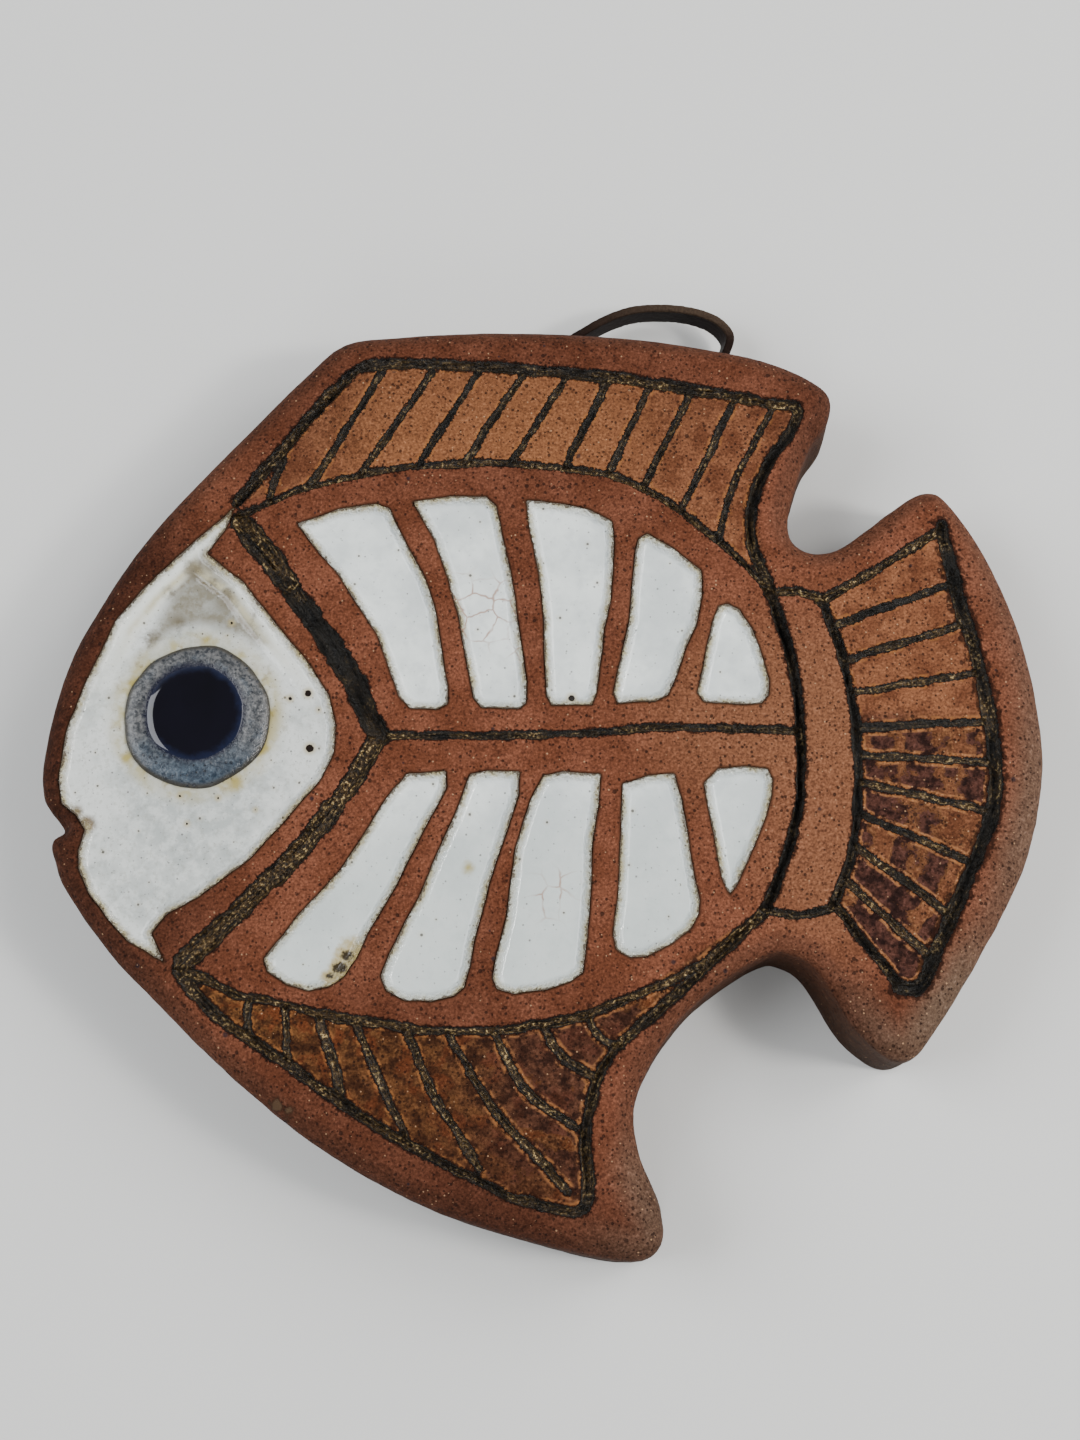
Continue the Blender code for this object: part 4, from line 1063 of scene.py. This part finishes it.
# Colours of the white glaze and of what marks it
whiteColours = {
    "white": ((0.5, 0.54, 0.535), (0.67, 0.71, 0.69)), "curds": (0.42, 0.46, 0.46),
    "head": ((0.355, 0.38, 0.37), (0.54, 0.56, 0.54)), "headCurds": (0.6, 0.62, 0.6),
    "headGrit": (0.27, 0.275, 0.235), "band": (0.66, 0.68, 0.63), "lowerShade": (0.415, 0.455, 0.44),
    "stain": (0.138, 0.12, 0.078), "crest": (0.44, 0.405, 0.27), "fold": (0.13, 0.1, 0.055),
    "eyeHalo": (0.34, 0.3, 0.15), "eyeRust": (0.15, 0.108, 0.035), "smudge": (0.09, 0.068, 0.034),
    "yellow": (0.3, 0.245, 0.07), "bare": (0.11, 0.072, 0.03), "edgeHalo": (0.33, 0.285, 0.15),
    "thin": (0.05, 0.03, 0.012), "crack": (0.3, 0.165, 0.11), "speckRing": (0.42, 0.36, 0.2),
    "speck": (0.045, 0.038, 0.028), "holeRing": (0.34, 0.27, 0.11), "hole": (0.01, 0.006, 0.004),
    "scorchEdge": (0.33, 0.25, 0.085), "scorch": (0.014, 0.008, 0.0035),
}


def buildWhite():
    # White glaze, greyer on the head, with painted shade greying the lower pools; over it stains, the edges'
    # halo and thin line, crackle, specks, pin holes and the scorched place. Each mark's share steps on a
    # distance shaken by noise
    colours = whiteColours
    material, shader, coords = newMaterial("whiteGlaze", 0.13)
    edge, head = attributeOf("edge"), attributeOf("head")
    spots = useGroup(pepper, Vector=coords, Share=maths("MULTIPLY_ADD", head, 0.25, 0.5))
    cloud = noiseOf(coords, 60, 4, 0.6)
    curds = noiseOf(coords, 330, 4, 0.65)
    fine = noiseOf(coords, 1400, 3, 0.6)
    white = mixed(stepped(cloud, 0.35, 0.62), *colours["white"])
    white = mixed(stepped(curds, 0.50, 0.66, 0.0, 0.30), white, colours["curds"])
    greyer = mixed(stepped(cloud, 0.36, 0.60), *colours["head"])
    greyer = mixed(stepped(curds, 0.42, 0.62, 0.0, 0.55), greyer, colours["headCurds"])
    greyer = mixed(stepped(fine, 0.52, 0.66, 0.0, 0.35), greyer, colours["headGrit"])
    greyer = mixed(times(attributeOf("band"), 0.8), greyer, colours["band"])
    # Painted shade: the glaze greyer and darker towards the bottom of the fish
    white = mixed(stepped(parts("XYZ", coords)[1], 0.000, -0.022, 0.0, 0.62), white, colours["lowerShade"])
    white = mixed(head, white, greyer)
    # The stain at the top of the head, and the yellow that runs round the eye
    stain, band = attributeOf("stain"), attributeOf("band")
    smoky = times(stain, stepped(curds, 0.34, 0.60, 0.55, 1.0))
    white = mixed(times(smoky, 0.9), white, colours["stain"])
    creamy = times(attributeOf("crest"), stepped(curds, 0.36, 0.58, 0.55, 0.95))
    white = mixed(creamy, white, colours["crest"])
    fold = times(stepped(band, 0.02, 0.35), stepped(band, 0.85, 0.40))
    fold = times(fold, times(stain, stepped(curds, 0.40, 0.58, 0.1, 0.8)))
    white = mixed(fold, white, colours["fold"])
    patchy = noiseOf(coords, 210, 3, 0.6)
    eyeHalo = times(attributeOf("eyeNear"), stepped(patchy, 0.40, 0.60, 0.35, 1.0))
    white = mixed(times(eyeHalo, 0.95), white, colours["eyeHalo"])
    rusted = times(eyeHalo, stepped(curds, 0.52, 0.66, 0.0, 0.8))
    white = mixed(rusted, white, colours["eyeRust"])
    smudge = shaken(nearestSpot(coords, smudges), curds, 0.009)
    white = mixed(stepped(smudge, 0.0020, -0.0012, 0.0, 0.8), white, colours["smudge"])
    yellow = shaken(nearestSpot(coords, yellows), curds, 0.003)
    white = mixed(stepped(yellow, 0.0016, -0.0004, 0.0, 0.9), white, colours["yellow"])
    # Thin, scratched glaze over the mouth
    bare = shaken(nearestSpot(coords, thinSpots), curds, 0.002)
    white = mixed(stepped(bare, 0.0010, -0.0006, 0.0, 0.95), white, colours["bare"])
    # Edges: a thin yellow-grey halo, then a dark brown line where the glaze thins out over the clay
    ragged = shaken(shaken(edge, fine, 1.5), curds, 0.9)
    halo = times(stepped(ragged, 1.50, 0.25), stepped(patchy, 0.36, 0.64, 0.35, 1.0))
    white = mixed(halo, white, colours["edgeHalo"])
    thin = stepped(ragged, 0.46, 0.14)
    white = mixed(times(thin, 0.9), white, colours["thin"])
    # Crackle lines in a few places
    cells = addNode("TexVoronoi", feature="DISTANCE_TO_EDGE", voronoi_dimensions="2D")
    bent = addNode("VectorMath", operation="MULTIPLY_ADD")
    colour = addNode("TexNoise")
    feed(colour.inputs["Vector"], coords)
    colour.inputs["Scale"].default_value = 300
    feed(bent.inputs[0], colour.outputs["Color"])
    bent.inputs[1].default_value = (0.0025, 0.0025, 0)
    feed(bent.inputs[2], coords)
    feed(cells.inputs["Vector"], bent.outputs[0])
    cells.inputs["Scale"].default_value = 230
    crack = stepped(cells.outputs["Distance"], 0.060, 0.010)
    where = stepped(nearestSpot(coords, crackles), 0.001, -0.004)
    crack = times(times(crack, where), stepped(patchy, 0.4, 0.6, 0.2, 0.8))
    white = mixed(crack, white, colours["crack"])
    # Iron specks, some with a warm ring, and open pin holes
    white = mixed(times(spots["Rings"], 0.22), white, colours["speckRing"])
    white = mixed(times(spots["Specks"], 0.8), white, colours["speck"])
    hole = shaken(nearestSpot(coords, pinHoles), fine, 0.0004)
    white = mixed(stepped(hole, 0.0010, 0.0, 0.0, 0.55), white, colours["holeRing"])
    opened = stepped(hole, 0.00008, -0.00008)
    white = mixed(opened, white, colours["hole"])
    scorch = shaken(nearestSpot(coords, burnt), curds, 0.005)
    white = mixed(stepped(scorch, 0.0022, 0.0002, 0.0, 0.85), white, colours["scorchEdge"])
    white = mixed(stepped(scorch, 0.0004, -0.0003, 0.0, 0.95), white, colours["scorch"])
    feed(shader.inputs["Base Color"], white)
    feed(shader.inputs["Roughness"], stepped(thin, 0.0, 1.0, 0.09, 0.25))
    ripple = maths("MULTIPLY_ADD", curds, 0.14, times(patchy, 0.08))
    ripple = plus(ripple, times(fine, stepped(edge, 1.9, 0.5, 0.0, 0.95)))
    dip = times(plus(opened, spots["Specks"]), -0.10)
    raiseBump(shader, plus(ripple, dip))
    return material


whiteGlaze = buildWhite()
for poolName, poolLine in poolLines.items():
    buildPool(poolName, poolLine, whiteGlaze, glaze["step"])
print("pools", len(poolLines))


def buildTurned(name, centre, profile, turns, material, inner, wobble):
    # A profile of radius and height turned about an upright axis, with the first and last points on the axis;
    # each point knows its distance from that axis and from the inner centre
    radius, height = np.array(profile, float).T
    angle = np.linspace(0, 2 * math.pi, turns, endpoint=False)
    rings = radius[1:-1, None] * np.ones(turns)
    spin = np.column_stack([np.cos(angle), np.sin(angle)])
    uneven = 1 + wobble * softNoise(spin * 3.0 + 5.0, 1.0, 81)
    xy = centre + (rings * uneven)[..., None] * spin[None]
    z = np.broadcast_to(height[1:-1, None], rings.shape)
    body = np.concatenate([xy, z[..., None]], axis=2).reshape(-1, 3)
    vertices = np.concatenate([[[*centre, height[0]]], body, [[*centre, height[-1]]]])
    ringCount = len(radius) - 2
    j = np.arange(turns)
    k = (j + 1) % turns
    i = np.arange(ringCount - 1)[:, None] * turns + 1
    faces = np.stack([i + j, i + turns + j, i + turns + k, i + k], axis=-1).reshape(-1, 4).tolist()
    last = len(vertices) - 1
    faces += [[0, int(a) + 1, int(b) + 1] for a, b in zip(j, k)]
    faces += [[last, last - turns + int(b), last - turns + int(a)] for a, b in zip(j, k)]
    away = np.concatenate([[radius[0]], rings.ravel(), [radius[-1]]])
    inward = np.linalg.norm(vertices[:, :2] - inner, axis=1)
    made = makeMesh(name, vertices, faces, material, {"radius": away, "inward": inward})
    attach(made, "root")


# Colours of the ring round the pupil
ringColours = {
    "grey": ((0.02, 0.023, 0.027), (0.112, 0.112, 0.112)),
    "blue": ((0.008, 0.017, 0.03), (0.058, 0.082, 0.108)), "pupilEdge": (0.004, 0.005, 0.016),
    "outerEdge": (0.022, 0.018, 0.011), "speck": (0.005, 0.008, 0.014),
}


def buildRingGlaze():
    # Finely mottled grey above and blue below, darker by the pupil and along the outer edge
    colours = ringColours
    material, shader, coords = newMaterial("eyeRingGlaze", 0.11)
    fine = noiseOf(coords, 1100, 4, 0.7)
    cloud = noiseOf(coords, 210, 3, 0.6)
    level = place([eye["centre"]])[0][1] * mm
    low = stepped(shaken(parts("XYZ", coords)[1], cloud, 0.012), level - 0.002, level - 0.012)
    grey = mixed(stepped(fine, 0.36, 0.66), *colours["grey"])
    blue = mixed(stepped(fine, 0.36, 0.70), *colours["blue"])
    base = mixed(low, grey, blue)
    base = mixed(stepped(cloud, 0.52, 0.68, 0.0, 0.6), base, blue)
    bled = shaken(attributeOf("inward"), fine, 1.4)
    base = mixed(stepped(bled, 10.4, 9.0), base, colours["pupilEdge"])
    ragged = shaken(attributeOf("radius"), fine, 1.4)
    base = mixed(stepped(ragged, 12.7, 13.6, 0.0, 0.9), base, colours["outerEdge"])
    specks = dotsOf(coords, 700, 0.30, 0.4, 0.6, flat=True)
    base = mixed(times(specks, 0.8), base, colours["speck"])
    feed(shader.inputs["Base Color"], base)
    raiseBump(shader, maths("MULTIPLY_ADD", fine, 0.22, times(cloud, 0.35)))
    return material


pupilColours = {"navy": ((0.0008, 0.0008, 0.0020), (0.0028, 0.0022, 0.0070)), "rim": (0.006, 0.009, 0.026)}


def buildPupilGlaze():
    # Near black, a little bluer at its rim
    material, shader, coords = newMaterial("pupilGlaze", 0.05)
    base = mixed(noiseOf(coords, 90, 3, 0.6), *pupilColours["navy"])
    ragged = shaken(attributeOf("radius"), noiseOf(coords, 420, 3, 0.6), 2.4)
    base = mixed(stepped(ragged, 7.6, 9.2), base, pupilColours["rim"])
    feed(shader.inputs["Base Color"], base)
    raiseBump(shader, times(noiseOf(coords, 260, 2, 0.5), 0.012))
    return material


# Profiles from the underside out and over the top: how far in from the edge and how high over the bed
eyeShapes = {
    "bed": 1.05, "ringAxis": (-0.2, 0.84), "pupilAxis": (0.4, 1.29),
    "ring": [(0.25, -0.2), (0.0, 0.12), (0.1, 0.42), (0.4, 0.68), (0.9, 0.95), (1.5, 1.16), (2.1, 1.28),
             (2.7, 1.30), (3.3, 1.22), (4.1, 1.04), (4.9, 0.92), (6.0, 0.86)],
    "pupil": [(-0.3, 0.6), (-0.5, 0.74), (-0.2, 0.90), (0.2, 1.05), (0.7, 1.16), (1.3, 1.23), (2.2, 1.27),
              (4.0, 1.29), (6.0, 1.29)],
}


def eyeProfile(name, radius):
    # The named profile for that radius, closed on the axis below and above
    bed = fish["top"] - eyeShapes["bed"]
    under, over = eyeShapes[name + "Axis"]
    turned = [(radius - inset, bed + rise) for inset, rise in eyeShapes[name]]
    return [(0, bed + under), *turned, (0, bed + over)]


def buildEye():
    centre = place([eye["centre"]])[0]
    pupilCentre = centre + eye["pupilShift"]
    ring, pupil = eyeProfile("ring", eye["radius"]), eyeProfile("pupil", eye["pupil"])
    buildTurned("eyeRing", centre, ring, 160, buildRingGlaze(), pupilCentre, 0.026)
    buildTurned("eyePupil", pupilCentre, pupil, 128, buildPupilGlaze(), pupilCentre, 0.012)
    print("eye")


buildEye()


# Floor and light

stage = {"floorSize": 1.6, "floorColours": ((0.585, 0.585, 0.575), (0.61, 0.61, 0.60))}


def buildFloor():
    half = stage["floorSize"] / 2
    mesh = bpy.data.meshes.new("floor")
    corners = [(-half, -half, 0), (half, -half, 0), (half, half, 0), (-half, half, 0)]
    mesh.from_pydata(corners, [], [(0, 1, 2, 3)])
    made = bpy.data.objects.new("floor", mesh)
    bpy.context.scene.collection.objects.link(made)
    material, shader, coords = newMaterial("paleFloor", 0.8, specular=0.2)
    shade = noiseOf(coords, 9, 2, 0.5)
    feed(shader.inputs["Base Color"], mixed(shade, *stage["floorColours"]))
    mesh.materials.append(material)


lights = {
    "key": {"place": (0.80, 0.06, 0.76), "size": 0.70, "power": 6.5, "colour": (1.0, 0.985, 0.965)},
    "right": {"place": (0.80, 0.50, 0.70), "size": 0.70, "power": 7.5, "colour": (1.0, 0.99, 0.98)},
    "left": {"place": (-0.85, 0.10, 0.80), "size": 0.80, "power": 13.0, "colour": (0.96, 0.98, 1.0)},
    "glint": {"place": (0.85, -0.13, 0.76), "size": 0.18, "power": 7.0, "colour": (1.0, 0.98, 0.95)},
    "front": {"place": (-0.10, -0.90, 0.75), "size": 0.30, "power": 2.2, "colour": (1.0, 1.0, 1.0)},
}
sky = {"side": 0.70, "top": 0.22, "colour": (0.90, 0.92, 0.94)}


def buildLights():
    for name, values in lights.items():
        data = bpy.data.lights.new(name, "AREA")
        data.size = values["size"]
        data.energy = values["power"]
        data.color = values["colour"]
        made = bpy.data.objects.new(name, data)
        made.location = values["place"]
        aim = -np.array(values["place"])
        flat = math.hypot(aim[0], aim[1])
        made.rotation_euler = (math.atan2(flat, -aim[2]), 0, math.atan2(aim[1], aim[0]) - math.pi / 2)
        bpy.context.scene.collection.objects.link(made)
    # The room is paler round the sides than straight above
    world = bpy.data.worlds.new("room")
    world.use_nodes = True
    bench["tree"] = world.node_tree
    up = parts("XYZ", addNode("TexCoord").outputs["Generated"])[2]
    background = world.node_tree.nodes["Background"]
    feed(background.inputs[0], sky["colour"])
    feed(background.inputs[1], stepped(up, 0.45, 0.95, sky["side"], sky["top"]))
    bpy.context.scene.world = world


buildFloor()
buildLights()
